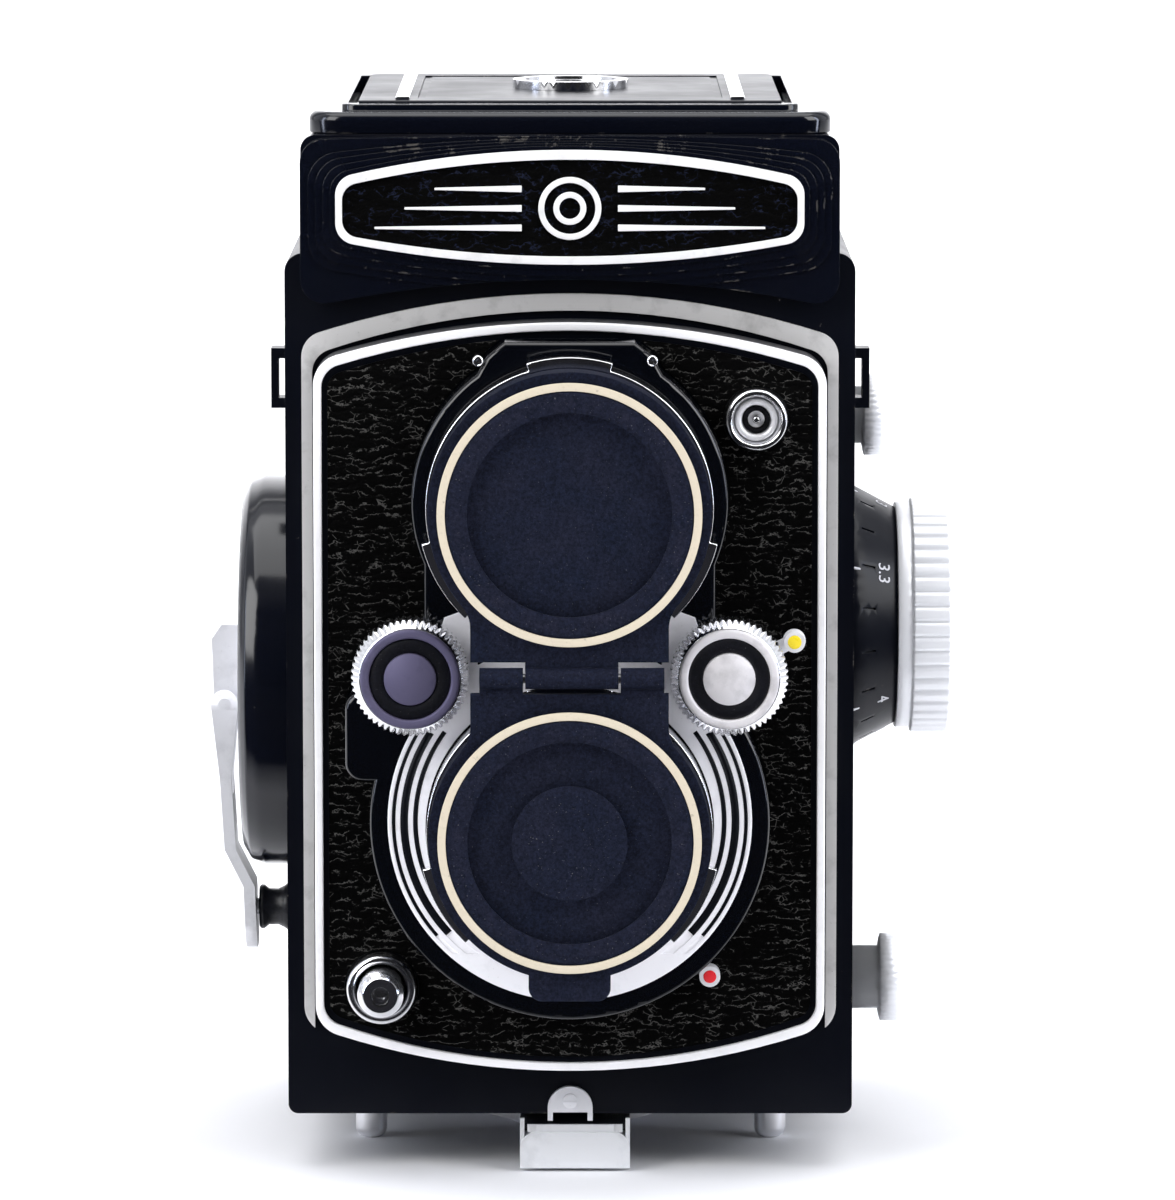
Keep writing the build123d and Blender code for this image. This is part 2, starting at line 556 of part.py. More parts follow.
def flash_sync_lever():
    """Lever behind the right wheel whose round end stands out beside it."""
    tip = (29.7 - WHEEL_X, 74.7 - WHEEL_Z)
    angle = math.degrees(math.atan2(tip[1], tip[0]))
    reach = math.hypot(*tip)
    hub = Circle(5.4) - Circle(2.2 + 0.1)
    arm = Pos(reach / 2 + 1.5, 0) * Rectangle(reach - 3, 1.8) + Pos(reach, 0) * Circle(1.5)
    lever = Pos(WHEEL_X, WHEEL_Z) * Rot(0, 0, angle) * (hub + (arm - Circle(3)))
    front = HOUSING_FRONT - 1.5
    shape = slab_y(lever, front, front + 0.7)
    knob = disc_y(29.7, 74.7, 1.4, front - 1.6, front + 0.1)
    return shape + knob


def self_timer_lever():
    """Arm round the taking lens that ends in a small round knob below right."""
    arm = Circle(TIMER_RING_R) - Circle(TIMER_RING_R - 2.6)
    arm += Rot(0, 0, TIMER_ANGLE) * Pos((TIMER_REACH + 19) / 2, 0) * Rectangle(TIMER_REACH - 19, 1.8)
    arm += Rot(0, 0, TIMER_ANGLE) * Pos(TIMER_REACH, 0) * Circle(1.4)
    shape = slab_y(Pos(0, TAKE_Z) * arm, TIMER_FRONT, TIMER_FRONT + 0.7)
    x = TIMER_REACH * math.cos(math.radians(TIMER_ANGLE))
    z = TAKE_Z + TIMER_REACH * math.sin(math.radians(TIMER_ANGLE))
    return shape + disc_y(x, z, 1.4, TIMER_FRONT - 1.8, TIMER_FRONT + 0.1)


# ---- Lens caps -----------------------------------------------------------------------------------

def cap_body(z, upward):
    """One lens cap: round plate with a skirt, and a waist that reaches towards the hinge."""
    sign = 1 if upward else -1
    edge = CAP_HINGE_Z + sign * 2.1
    waist = Pos(0, (edge + z) / 2) * Rectangle(2 * 13.0, abs(z - edge))
    plate = Pos(0, z) * Circle(CAP_R) + waist
    inner_corners = [v for v in plate.vertices() if abs(v.Y - edge) > 1]
    plate = fillet(inner_corners, 4.5)
    cap = slab_y(plate, CAP_FRONT, CAP_FRONT + 1.3)
    skirt = ring_y(0, z, CAP_R, CAP_R - 1.3, CAP_FRONT + 1.2, BAYONET_FRONT - 0.8)
    cut = z - sign * 12.5
    keep = block((-30, 30), (-70, -50), tuple(sorted((cut, cut + sign * 60))))
    return cap + (skirt & keep)


def hinge_knuckle(low, high, z_plate):
    y = CAP_FRONT - 0.2
    knuckle = disc_x(y, CAP_HINGE_Z, 1.4, low, high)
    web = block((low, high), (CAP_FRONT, CAP_FRONT + 1.2), tuple(sorted((CAP_HINGE_Z, z_plate))))
    return (knuckle + web) - disc_x(y, CAP_HINGE_Z, 0.6 + RUN, low - 1, high + 1)


def cap_lower():
    cap = cap_body(TAKE_Z, False)
    plate_edge = CAP_HINGE_Z - 2.4
    for low, high in ((-11.8, -6.1), (6.7, 12.4)):
        cap += hinge_knuckle(low, high, plate_edge)
    tab = Pos(0, TAKE_Z - 18.2) * RectangleRounded(10.8, 6.2, 1.8)
    cap += slab_y(tab, CAP_FRONT, CAP_FRONT + 1.3)
    return cap


def cap_upper():
    cap = cap_body(VIEW_Z, True)
    return cap + hinge_knuckle(-5.8, 6.4, CAP_HINGE_Z + 2.4)


def cap_hinge_pin():
    return disc_x(CAP_FRONT - 0.2, CAP_HINGE_Z, 0.6, -11.8, 12.4)


# ---- Crank ---------------------------------------------------------------------------------------

def crank_hub():
    """Hub disc with its shaft, and the lug that the arm folds on."""
    hub = disc_x(CRANK_Y, CRANK_Z, 9.0, -45.0, -43.6)
    hub += disc_x(CRANK_Y, CRANK_Z, 6.6, -45.7, -45.0)
    hub += disc_x(CRANK_Y, CRANK_Z, 2.5, -43.6, -30)
    lug = outline((-45, 57.2), (-49.4, 57.2), (-49.8, 68.4), (-48.4, 70.4), (-45, 70.4))
    lug = slab_y(lug, CRANK_Y - 2.4, CRANK_Y + 2.4)
    lug &= disc_x(CRANK_Y, CRANK_Z, 9.0, -52, -40)
    hub += lug
    return hub - disc_y(CRANK_PIN_X, CRANK_PIN_Z, 0.9 + RUN, CRANK_Y - 5, CRANK_Y + 5)


def crank_arm():
    """Folding arm: two cheeks on the pin, a bent web below them and the handle's pin."""
    path = [(-48.0, CRANK_PIN_Z), (-47.9, 49), (-47.3, 39), (-44.7, 33.8), (-44.4, 25.0)]
    half = 0.8
    right = [(x + half, z) for x, z in path]
    left = [(x - half, z) for x, z in reversed(path)]
    side = outline(*(right + left))
    body = slab_y(side, CRANK_Y - 4.0, CRANK_Y + 4.0)
    ends = Pos(CRANK_PIN_X, CRANK_PIN_Z) * Circle(1.9)
    body += slab_y(ends, CRANK_Y - 4.0, CRANK_Y + 4.0)
    cheek = outline((-49.9, CRANK_PIN_Z), (-46.1, CRANK_PIN_Z), (-47.1, 49), (-48.7, 49))
    body += slab_y(cheek, CRANK_Y - 4.0, CRANK_Y + 4.0)
    body -= block((-55, -40), (CRANK_Y - 2.8, CRANK_Y + 2.8), (46.5, 66))
    body = body & slab_x(Pos(CRANK_Y, 43.5) * RectangleRounded(8, 38, 3.9), -60, -30)
    pin = disc_y(CRANK_PIN_X, CRANK_PIN_Z, 0.9, CRANK_Y - 4.0, CRANK_Y + 4.0)
    stem = disc_x(CRANK_Y, 30.4, 1.2, -44.6, -39.6)
    return body + pin + stem


def crank_handle():
    """Round handle that spins on the arm's stem."""
    profile = [(0, 1.2 + RUN), (0, 3.1), (1.0, 2.5), (2.8, 2.5), (4.0, 3.3), (4.4, 3.0), (4.4, 1.2 + RUN)]
    return turned(profile, (-43.4, CRANK_Y, 30.4), (1, 0, 0))


# ---- Spools and their knobs ----------------------------------------------------------------------

def spool_knob(axis, head_r, reach):
    """Pull knob on the right side: knurled head, stem through the wall and a tongue in the spool."""
    y, z = axis
    head = slab_x(Pos(y, z) * toothed(head_r, 28, 0.4), reach - 3.0, reach)
    collar = disc_x(y, z, head_r - 1.6, BODY_HALF + 0.2, reach - 3.0)
    stem = disc_x(y, z, 2.0, SPOOL_HALF - 3.0, BODY_HALF + 0.4)
    return head + collar + stem


def spool(axis):
    """Film spool: core with two flanges and a bore at each end."""
    y, z = axis
    core = disc_x(y, z, 5.0, -SPOOL_HALF, SPOOL_HALF)
    for x in (-SPOOL_HALF, SPOOL_HALF - 1.2):
        core += disc_x(y, z, SPOOL_FLANGE_R, x, x + 1.2)
    core -= disc_x(y, z, 2.0 + RUN, SPOOL_HALF - 5, SPOOL_HALF + 1)
    return core - disc_x(y, z, 2.0 + RUN, -SPOOL_HALF - 1, -SPOOL_HALF + 5)


# ---- Hood ----------------------------------------------------------------------------------------

def hood_lid():
    """Lid plate with a raised door panel in its middle."""
    plate = block((-LID_HALF, LID_HALF), (LID_PIVOT[0], 31.8), (LID_TOP - 0.2 - LID_THICK, LID_TOP - 0.2))
    plate = fillet(plate.edges().filter_by(Axis.Z).group_by(Axis.Y)[-1], 2)
    plate -= block((-20.6, 20.6), (-22, 27), (LID_TOP - 0.45, LID_TOP + 1))
    plate += block((-19.6, 19.6), (-21, 26), (LID_TOP - 0.8, LID_TOP - 0.3))
    pins = disc_x(LID_PIVOT[0], LID_PIVOT[1], 0.4, -LID_HALF, LID_HALF)
    return plate + pins


def lid_trim():
    """Two bright strips beside the door panel and a plain round emblem in its middle."""
    pieces = [block(tuple(sorted((s * 21.6, s * 23.5))), (-26.5, 30.5), (LID_TOP - 0.2, LID_TOP + 0.2))
              for s in (-1, 1)]
    emblem = slab_z(Pos(0, 2) * (Circle(8.0) - Circle(6.6)), LID_TOP - 0.3, LID_TOP + 0.9)
    emblem += slab_z(Pos(0, 2) * Circle(6.7), LID_TOP - 0.3, LID_TOP + 0.4)
    return Compound(children=pieces + [emblem])


def side_flap(sign):
    """Side flap with its hinge barrel and a front corner cut at 45 degrees."""
    hinge = SIDE_FLAP_X
    flap = outline((hinge, -26.6), (hinge - FLAP_WIDE, -26.6 + FLAP_WIDE),
                   (hinge - FLAP_WIDE, 30.6), (hinge, 31.6))
    if sign < 0:
        flap = mirror(flap, Plane.YZ)
    low = SIDE_FLAP_Z - FLAP_THICK / 2
    return slab_z(flap, low, low + FLAP_THICK) + disc_y(sign * hinge, SIDE_FLAP_Z, 0.45, -26.4, 31.4)


def back_flap():
    """Rear flap with its hinge barrel, both corners cut at 45 degrees."""
    wide = 22.0
    flap = outline((-28.4, BACK_FLAP_Y), (28.4, BACK_FLAP_Y),
                   (27.6 - wide, BACK_FLAP_Y - wide), (-27.6 + wide, BACK_FLAP_Y - wide))
    low = BACK_FLAP_Z - 0.25
    return slab_z(flap, low, low + 0.5) + disc_x(BACK_FLAP_Y, BACK_FLAP_Z, 0.3, -28.2, 28.2)


def magnifier_frame():
    """Square frame of the magnifier, hinged under the lid."""
    frame = block((-16, 16), (MAGNIFIER_Y, MAGNIFIER_Y + 27), (142.1, 143.2))
    frame = fillet(frame.edges().filter_by(Axis.Z), 2)
    frame += disc_x(MAGNIFIER_Y, 143.2, 0.4, -12, 12)
    return frame - disc_z(0, MAGNIFIER_Y + 14, 11.5, 140, 146)


def magnifier_lens():
    return disc_z(0, MAGNIFIER_Y + 14, 11.5, 142.3, 143.0)


# ---- Back door -----------------------------------------------------------------------------------

def back_door():
    """L-shaped door: rear wall and floor in one piece, with the hinge barrel along its top."""
    y, z = DOOR_PIVOT
    rear = block((-BODY_HALF, BODY_HALF), DOOR_BACK, (DOOR_FLOOR[0], 116.5))
    floor = block((-BODY_HALF, BODY_HALF), (BODY_FRONT + WALL + 0.3, DOOR_BACK[1]), DOOR_FLOOR)
    floor = fillet(floor.edges().filter_by(Axis.Y).group_by(Axis.Z)[0], CORNER_R)
    rear = fillet(rear.edges().filter_by(Axis.Y).group_by(Axis.Z)[0], CORNER_R)
    door = rear + floor
    door = fillet(door.edges().filter_by(Axis.X).group_by(Axis.Y)[-1].group_by(Axis.Z)[0], 1.2)
    door -= slab_y(Pos(0, 62) * RectangleRounded(68, 100, 3), DOOR_BACK[1] - LEATHER, DOOR_BACK[1] + 1)
    barrel = disc_x(y, z, 1.6, -17.4, 17.4)
    barrel += slab_x(outline((y - 1.3, z - 1), (y + 1.5, z - 1), (DOOR_BACK[1], 115.5),
                             (DOOR_BACK[0], 115.5)), -17.4, 17.4)
    door += barrel
    door -= disc_x(y, z, 0.8, -20, 20) + disc_z(0, 0, 5.0, 5, 12)
    return Compound(children=[door] + feet())


def back_leather():
    return slab_y(Pos(0, 62) * RectangleRounded(67.6, 99.6, 2.8), DOOR_BACK[1] - LEATHER, DOOR_BACK[1])


def pressure_plate():
    """Film pressure plate on two spring pads inside the door."""
    plate = slab_y(Pos(0, 47.5) * RectangleRounded(60, 60, 2), 27.4, 28.6)
    for z in (32, 63):
        plate += block((-6, 6), (28.4, DOOR_BACK[0]), (z - 3, z + 3))
    return plate


def tripod_bush():
    """Tripod socket: a flanged bush in the door's floor that stands on the feet's plane."""
    bush = disc_z(0, 0, 8.6, 0, DOOR_FLOOR[0]) + disc_z(0, 0, 5.0, DOOR_FLOOR[0], DOOR_FLOOR[1] + 0.6)
    return bush - disc_z(0, 0, SOCKET_R, -1, SOCKET_DEEP)


def lock_ring():
    """Ring round the tripod bush that unlocks the back when it turns, with two finger tabs."""
    ring = Circle(13.0) - Circle(8.6 + RUN)
    for sign in (-1, 1):
        ring += Pos(sign * 13.4, 0) * RectangleRounded(4.4, 6.0, 1.0) - Circle(9)
    return slab_z(ring, 1.6, 5.0)


def lock_bar():
    """Sliding bar from the lock ring to the front, with a bent lip that closes over the catch."""
    middle, half = LIP_MIDDLE, LIP_HALF
    bar = block((middle - half + 1, middle + half - 1), (-37.6, -9.6), (5.3, 6.4))
    lip = Pos(middle, 2.95) * Rectangle(2 * half, 4.9)
    lip = fillet(lip.vertices().group_by(Axis.Y)[-1], 2.2)
    bar += slab_y(lip, -38.4, -37.4)
    bar += block((middle - half + 2.2, middle + half - 2.2), (-37.8, -37.0), (4.6, 6.4))
    for x in (middle - half, middle + half - 0.6):
        bar += block((x, x + 0.6), (-38.0, -36.5), (3.0, 7.3))
        bar += block((x, x + 0.6), (-36.6, -30.0), (5.3, 6.4))
        bar += block(tuple(sorted((x + 0.3, middle))), (-36.6, -30.0), (5.3, 6.4))
    return bar


def feet():
    """Four round feet on the door's floor."""
    pieces = []
    for x in (-FOOT_X, FOOT_X):
        for y in (FOOT_FRONT, FOOT_REAR):
            foot = disc_z(x, y, FOOT_R, 0, DOOR_FLOOR[0])
            pieces.append(fillet(foot.edges().group_by(Axis.Z)[0], 1.4))
    return pieces


NODES = {
    "body_shell": body_shell,
    "side_leather": side_leather,
    "trim_band": trim_band,
    "catch_tab": catch_tab,
    "strap_lugs": strap_lugs,
    "crank_dish": crank_dish,
    "top_housing": top_housing,
    "nameplate_panel": nameplate_panel,
    "nameplate_trim": nameplate_trim,
    "reflex_mirror": reflex_mirror,
    "focusing_screen": focusing_screen,
    "hood_base": hood_base,
    "back_hinge_pin": back_hinge_pin,
    "focus_dial": focus_dial,
    "focus_grip": focus_grip,
    "focus_shaft": focus_shaft,
    "front_plate": front_plate,
    "front_rim": front_rim,
    "front_leather": front_leather,
    "lens_housing": lens_housing,
    "shutter_plate": shutter_plate,
    "viewing_barrel": lambda: lens_barrel(VIEW_Z, -26),
    "viewing_bayonet": lambda: bayonet_ring(VIEW_Z),
    "viewing_glass": lambda: lens_glass(VIEW_Z),
    "taking_barrel": lambda: lens_barrel(TAKE_Z, -30),
    "taking_bayonet": lambda: bayonet_ring(TAKE_Z),
    "taking_glass": lambda: lens_glass(TAKE_Z),
    "shutter_blades": shutter_blades,
    "sync_terminal": sync_terminal,
    "release_collar": release_collar,
    "release_button": release_button,
    "aperture_wheel": lambda: thumb_wheel(-1),
    "aperture_cap": lambda: wheel_cap(-1),
    "speed_wheel": lambda: thumb_wheel(1),
    "speed_cap": lambda: wheel_cap(1),
    "flash_sync_lever": flash_sync_lever,
    "self_timer_lever": self_timer_lever,
    "cap_lower": cap_lower,
    "cap_upper": cap_upper,
    "cap_hinge_pin": cap_hinge_pin,
    "crank_hub": crank_hub,
    "crank_arm": crank_arm,
    "crank_handle": crank_handle,
    "upper_spool_knob": lambda: spool_knob(UPPER_SPOOL, 5.75, 44.2),
    "lower_spool_knob": lambda: spool_knob(LOWER_SPOOL, 6.1, 45.9),
    "takeup_spool": lambda: spool(UPPER_SPOOL),
    "supply_spool": lambda: spool(LOWER_SPOOL),
    "hood_lid": hood_lid,
    "lid_trim": lid_trim,
    "hood_left_flap": lambda: side_flap(-1),
    "hood_right_flap": lambda: side_flap(1),
    "hood_back_flap": back_flap,
    "magnifier_frame": magnifier_frame,
    "magnifier_lens": magnifier_lens,
    "back_door": back_door,
    "back_leather": back_leather,
    "pressure_plate": pressure_plate,
    "tripod_bush": tripod_bush,
    "lock_ring": lock_ring,
    "lock_bar": lock_bar,
}
os.makedirs("parts", exist_ok=True)
for name, make in NODES.items():
    export_step(make(), f"parts/{name}.step")
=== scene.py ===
import math

import bmesh
import bpy
from mathutils import Matrix, Vector


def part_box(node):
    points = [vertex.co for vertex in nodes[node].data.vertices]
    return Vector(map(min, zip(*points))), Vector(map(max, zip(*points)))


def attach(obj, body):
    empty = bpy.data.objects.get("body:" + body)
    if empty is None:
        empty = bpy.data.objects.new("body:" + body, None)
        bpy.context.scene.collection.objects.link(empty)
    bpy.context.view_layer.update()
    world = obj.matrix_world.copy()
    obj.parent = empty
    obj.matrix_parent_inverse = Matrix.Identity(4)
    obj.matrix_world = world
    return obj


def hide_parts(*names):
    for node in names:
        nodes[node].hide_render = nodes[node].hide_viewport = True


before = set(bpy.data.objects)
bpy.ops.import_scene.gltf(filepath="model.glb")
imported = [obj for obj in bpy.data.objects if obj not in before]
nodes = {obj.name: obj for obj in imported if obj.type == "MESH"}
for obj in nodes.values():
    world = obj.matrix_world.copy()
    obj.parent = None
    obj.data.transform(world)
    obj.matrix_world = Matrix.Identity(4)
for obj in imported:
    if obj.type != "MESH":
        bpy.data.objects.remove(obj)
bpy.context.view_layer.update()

MM = 0.001


# ---- Places taken from the frame -----------------------------------------------------------------

def middle(node):
    low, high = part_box(node)
    return (low + high) / 2


def low_of(node):
    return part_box(node)[0]


def high_of(node):
    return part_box(node)[1]


VIEW = middle("viewing_bayonet")
TAKE = middle("taking_bayonet")
CAP_FRONT = low_of("cap_upper").y
VIEW.z = middle("viewing_glass").z
TAKE.z = middle("taking_glass").z


# ---- Node helpers --------------------------------------------------------------------------------

class Graph:
    """Short-hand for building a material's nodes."""

    def __init__(self, name):
        self.material = bpy.data.materials.new(name)
        self.material.use_nodes = True
        self.tree = self.material.node_tree
        self.shader = self.tree.nodes["Principled BSDF"]

    def node(self, kind, inputs=None, **settings):
        made = self.tree.nodes.new(kind)
        for key, value in settings.items():
            setattr(made, key, value)
        for key, value in (inputs or {}).items():
            if isinstance(value, bpy.types.NodeSocket):
                self.tree.links.new(value, made.inputs[key])
            else:
                made.inputs[key].default_value = value
        return made

    def place(self, stretch=(1, 1, 1)):
        """Object coordinates in millimetres, stretched."""
        coord = self.node("ShaderNodeTexCoord").outputs["Object"]
        factor = [1000.0 * s for s in stretch]
        return self.node("ShaderNodeVectorMath", {0: coord, 1: factor}, operation="MULTIPLY").outputs[0]

    def noise(self, vector, scale, detail=3.0, rough=0.55):
        made = self.node("ShaderNodeTexNoise", {"Vector": vector, "Scale": scale, "Detail": detail,
                                                "Roughness": rough})
        return made.outputs["Fac"]

    def ramp(self, value, low, high, out_low=0.0, out_high=1.0):
        made = self.node("ShaderNodeMapRange", {"Value": value, "From Min": low, "From Max": high,
                                                "To Min": out_low, "To Max": out_high})
        return made.outputs["Result"]

    def math(self, operation, a, b=0.0):
        return self.node("ShaderNodeMath", {0: a, 1: b}, operation=operation).outputs[0]

    def mix(self, factor, a, b):
        made = self.node("ShaderNodeMix", data_type="RGBA")
        for index, value in ((0, factor), (6, a), (7, b)):
            if isinstance(value, bpy.types.NodeSocket):
                self.tree.links.new(value, made.inputs[index])
            elif index == 0:
                made.inputs[0].default_value = value
            else:
                made.inputs[index].default_value = (*value, 1.0)
        return made.outputs[2]

    def bump(self, height, strength, distance):
        inputs = {"Height": height, "Strength": strength, "Distance": distance}
        return self.node("ShaderNodeBump", inputs).outputs["Normal"]

    def set(self, **sockets):
        for key, value in sockets.items():
            socket = self.shader.inputs[key.replace("_", " ")]
            if isinstance(value, bpy.types.NodeSocket):
                self.tree.links.new(value, socket)
            elif isinstance(value, tuple) and len(value) == 3:
                socket.default_value = (*value, 1.0)
            else:
                socket.default_value = value
        return self.material

    def along(self, axis, low, high):
        """0 below low and 1 above high, in millimetres along an object axis."""
        parts = self.node("ShaderNodeSeparateXYZ", {"Vector": self.place()})
        return self.ramp(parts.outputs[axis], low, high)

    def edge_mask(self, radius, low, high):
        """1 along sharp edges, 0 on flat faces."""
        rounded = self.node("ShaderNodeBevel", {"Radius": radius}, samples=4).outputs[0]
        flat = self.node("ShaderNodeNewGeometry").outputs["Normal"]
        dot = self.node("ShaderNodeVectorMath", {0: rounded, 1: flat}, operation="DOT_PRODUCT")
        return self.ramp(dot.outputs["Value"], high, low)


# ---- Materials -----------------------------------------------------------------------------------

ENAMEL_BASE = (0.0022, 0.003, 0.0068)
BARE = (0.4, 0.37, 0.33)


def black_enamel(name, base=ENAMEL_BASE, rough=0.1, wear=1.0, shine=0.5, peel=0.05, metal_part=None):
    """Glossy stove enamel with a blue cast, orange peel, dust, hair scratches and edges worn to metal."""
    g = Graph(name)
    place = g.place()
    cloud = g.noise(place, 0.08, 4)
    dust = g.ramp(g.noise(place, 2.4, 5, 0.75), 0.68, 0.78)
    edge = g.edge_mask(0.3 * MM, 0.88, 0.99)
    patch = g.ramp(g.noise(place, 0.3, 6, 0.75), 0.58, 0.66)
    worn = g.math("MULTIPLY", g.math("MULTIPLY", edge, patch), wear)
    chips = g.ramp(g.noise(place, 0.9, 3, 0.6), 0.76, 0.79)
    worn = g.math("MAXIMUM", worn, g.math("MULTIPLY", chips, 0.6 * wear))
    colour = g.mix(g.math("MULTIPLY", dust, 0.14), base, (0.14, 0.15, 0.18))
    colour = g.mix(g.math("MULTIPLY", worn, 0.8), colour, BARE)
    smear = g.ramp(cloud, 0.35, 0.7, rough, rough + 0.1)
    roughness = g.math("MAXIMUM", smear, g.math("MULTIPLY", dust, 0.45))
    metallic = g.math("MULTIPLY", worn, 0.7)
    if metal_part is not None:
        part = g.along(*metal_part)
        colour = g.mix(part, colour, (0.8, 0.8, 0.82))
        metallic = g.math("MAXIMUM", metallic, part)
        roughness = g.math("MAXIMUM", roughness, g.math("MULTIPLY", part, 0.18))
    skin = g.noise(place, 0.9, 2, 0.4)
    hairs = g.noise(g.place(stretch=(1, 1, 0.05)), 3.0, 2, 0.6)
    normal = g.bump(g.math("ADD", skin, g.math("MULTIPLY", hairs, 0.25)), peel, 0.05 * MM)
    return g.set(Base_Color=colour, Roughness=roughness, Metallic=metallic, Normal=normal,
                 Specular_IOR_Level=shine)


def leatherette(name, pitch=1.3, painted_glint_colour=(0.09, 0.087, 0.082)):
    """Black covering with broken, wavy creases that run sideways, drawn with pale lines of painted highlight
    along them.
    """
    g = Graph(name)
    place = g.place()
    height_axis = g.node("ShaderNodeSeparateXYZ", {"Vector": place}).outputs["Z"]
    waves = g.noise(g.place(stretch=(0.5, 0.5, 0.75)), 0.55, 6, 0.62)
    phase = g.math("ADD", g.math("MULTIPLY", height_axis, 1 / pitch), g.math("MULTIPLY", waves, 4.2))
    away = g.math("ABSOLUTE", g.math("SUBTRACT", g.math("FRACT", phase), 0.5))
    crease = g.math("SUBTRACT", 1.0, g.ramp(away, 0.025, 0.09))
    broken = g.ramp(g.noise(g.place(stretch=(0.55, 0.55, 1.6)), 0.62, 4, 0.6), 0.47, 0.54)
    cells = g.node("ShaderNodeTexVoronoi", {"Vector": g.place(stretch=(0.7, 0.7, 1)), "Scale": 1.1},
                   feature="DISTANCE_TO_EDGE").outputs["Distance"]
    cross = g.math("SUBTRACT", 1.0, g.ramp(cells, 0.01, 0.045))
    sparse = g.ramp(g.noise(place, 0.5, 4, 0.6), 0.55, 0.62)
    line = g.math("MAXIMUM", g.math("MULTIPLY", crease, broken), g.math("MULTIPLY", cross, sparse))
    grain = g.noise(place, 5.0, 4, 0.7)
    # Pale crease and cell lines are painted highlights on the ridges, mixed into the colour.
    painted_glint = g.math("MULTIPLY", line, g.ramp(grain, 0.3, 0.75, 0.45, 1.0))
    colour = g.mix(painted_glint, (0.0006, 0.0006, 0.0006), painted_glint_colour)
    puff = g.math("ADD", g.math("MULTIPLY", g.ramp(away, 0.0, 0.4), 0.7), g.math("MULTIPLY", grain, 0.35))
    return g.set(Base_Color=colour, Roughness=g.ramp(grain, 0.3, 0.7, 0.5, 0.7),
                 Normal=g.bump(puff, 0.5, 0.14 * MM), Specular_IOR_Level=0.06)


def metal(name, base, rough, spread=0.1, scratch=0.35, streak=(1, 1, 1), grime=0.25, bare=1.0,
          black_part_and_painted_shade=None):
    """Bare or plated metal with fine scratches, cloudy roughness, pits and a little dirt."""
    g = Graph(name)
    place = g.place()
    cloud = g.noise(place, 0.22, 5, 0.6)
    fine = g.noise(g.place(stretch=streak), 7.0, 3, 0.7)
    pits = g.ramp(g.noise(place, 3.2, 3, 0.6), 0.68, 0.76)
    dirt = g.math("MULTIPLY", g.ramp(cloud, 0.52, 0.78), grime)
    colour = g.mix(dirt, base, tuple(0.3 * c for c in base))
    colour = g.mix(g.math("MULTIPLY", pits, 0.8 * grime), colour, (0.1, 0.08, 0.07))
    spread_in = g.math("ADD", cloud, g.math("MULTIPLY", fine, 0.4))
    roughness = g.ramp(spread_in, 0.4, 1.0, rough, rough + spread)
    metallic = bare
    # Colour turns to black enamel behind a given span: a real black side on the rim, painted shade on the
    # lip.
    if black_part_and_painted_shade is not None:
        part = g.along(*black_part_and_painted_shade)
        colour = g.mix(part, colour, ENAMEL_BASE)
        metallic = g.math("MULTIPLY", g.math("SUBTRACT", 1.0, part), bare)
    return g.set(Base_Color=colour, Roughness=roughness, Metallic=metallic,
                 Normal=g.bump(fine, scratch, 0.012 * MM))


def matt_black(name, base=(0.0055, 0.0082, 0.02), speck=0.45, rough=0.75, shine=0.1, centre=None):
    """Flocked black finish with a fine mottle, pale lint and rubbed edges."""
    g = Graph(name)
    place = g.place()
    grain = g.noise(place, 2.6, 5, 0.75)
    lint = g.ramp(g.noise(place, 4.5, 2, 0.5), 0.7, 0.75)
    cloud = g.ramp(g.noise(place, 0.15, 4), 0.3, 0.75)
    mottle = g.ramp(grain, 0.35, 0.7)
    colour = g.mix(mottle, tuple(0.4 * c for c in base), tuple(1.7 * c for c in base))
    dusty = g.mix(mottle, tuple(0.8 * c for c in base), (0.021, 0.02, 0.035))
    colour = g.mix(g.math("MULTIPLY", cloud, 0.55), colour, dusty)
    if centre is not None:
        offset = g.node("ShaderNodeVectorMath", {0: place, 1: [1000 * c for c in centre]},
                        operation="SUBTRACT").outputs[0]
        flat = g.node("ShaderNodeVectorMath", {0: offset, 1: (1, 0, 1)}, operation="MULTIPLY").outputs[0]
        radius = g.node("ShaderNodeVectorMath", {0: flat}, operation="LENGTH").outputs["Value"]
        patchy = g.ramp(g.noise(place, 0.35, 4), 0.4, 0.62)
        outside = g.math("SUBTRACT", 1.0, g.ramp(radius, 15.2, 15.8))
        rim = g.math("MULTIPLY", g.ramp(radius, 12.4, 14.6), outside)
        colour = g.mix(g.math("MULTIPLY", g.math("MULTIPLY", rim, patchy), 0.6), colour, dusty)
    colour = g.mix(g.math("MULTIPLY", lint, speck), colour, (0.2, 0.19, 0.2))
    edge = g.edge_mask(0.25 * MM, 0.88, 0.99)
    rubbed = g.math("MULTIPLY", edge, g.ramp(g.noise(place, 0.6, 4), 0.45, 0.65))
    colour = g.mix(g.math("MULTIPLY", rubbed, 0.35), colour, (0.08, 0.085, 0.1))
    return g.set(Base_Color=colour, Roughness=rough, Normal=g.bump(grain, 0.5, 0.06 * MM),
                 Specular_IOR_Level=shine)


def paint(name, base, rough=0.45, dirt=0.35, shine=0.4):
    """Thin line or dot of paint with uneven dirt and nicks."""
    g = Graph(name)
    place = g.place()
    spots = g.ramp(g.noise(place, 1.6, 5, 0.7), 0.55, 0.72)
    nicks = g.ramp(g.noise(place, 0.8, 3, 0.6), 0.7, 0.73)
    colour = g.mix(g.math("MULTIPLY", spots, dirt), base, tuple(0.5 * c for c in base))
    colour = g.mix(g.math("MULTIPLY", nicks, dirt), colour, (0.12, 0.09, 0.07))
    roughness = g.ramp(g.noise(place, 1.5, 3), 0.3, 0.7, rough - 0.08, rough + 0.12)
    return g.set(Base_Color=colour, Roughness=roughness, Normal=g.bump(spots, 0.2, 0.03 * MM),
                 Specular_IOR_Level=shine)


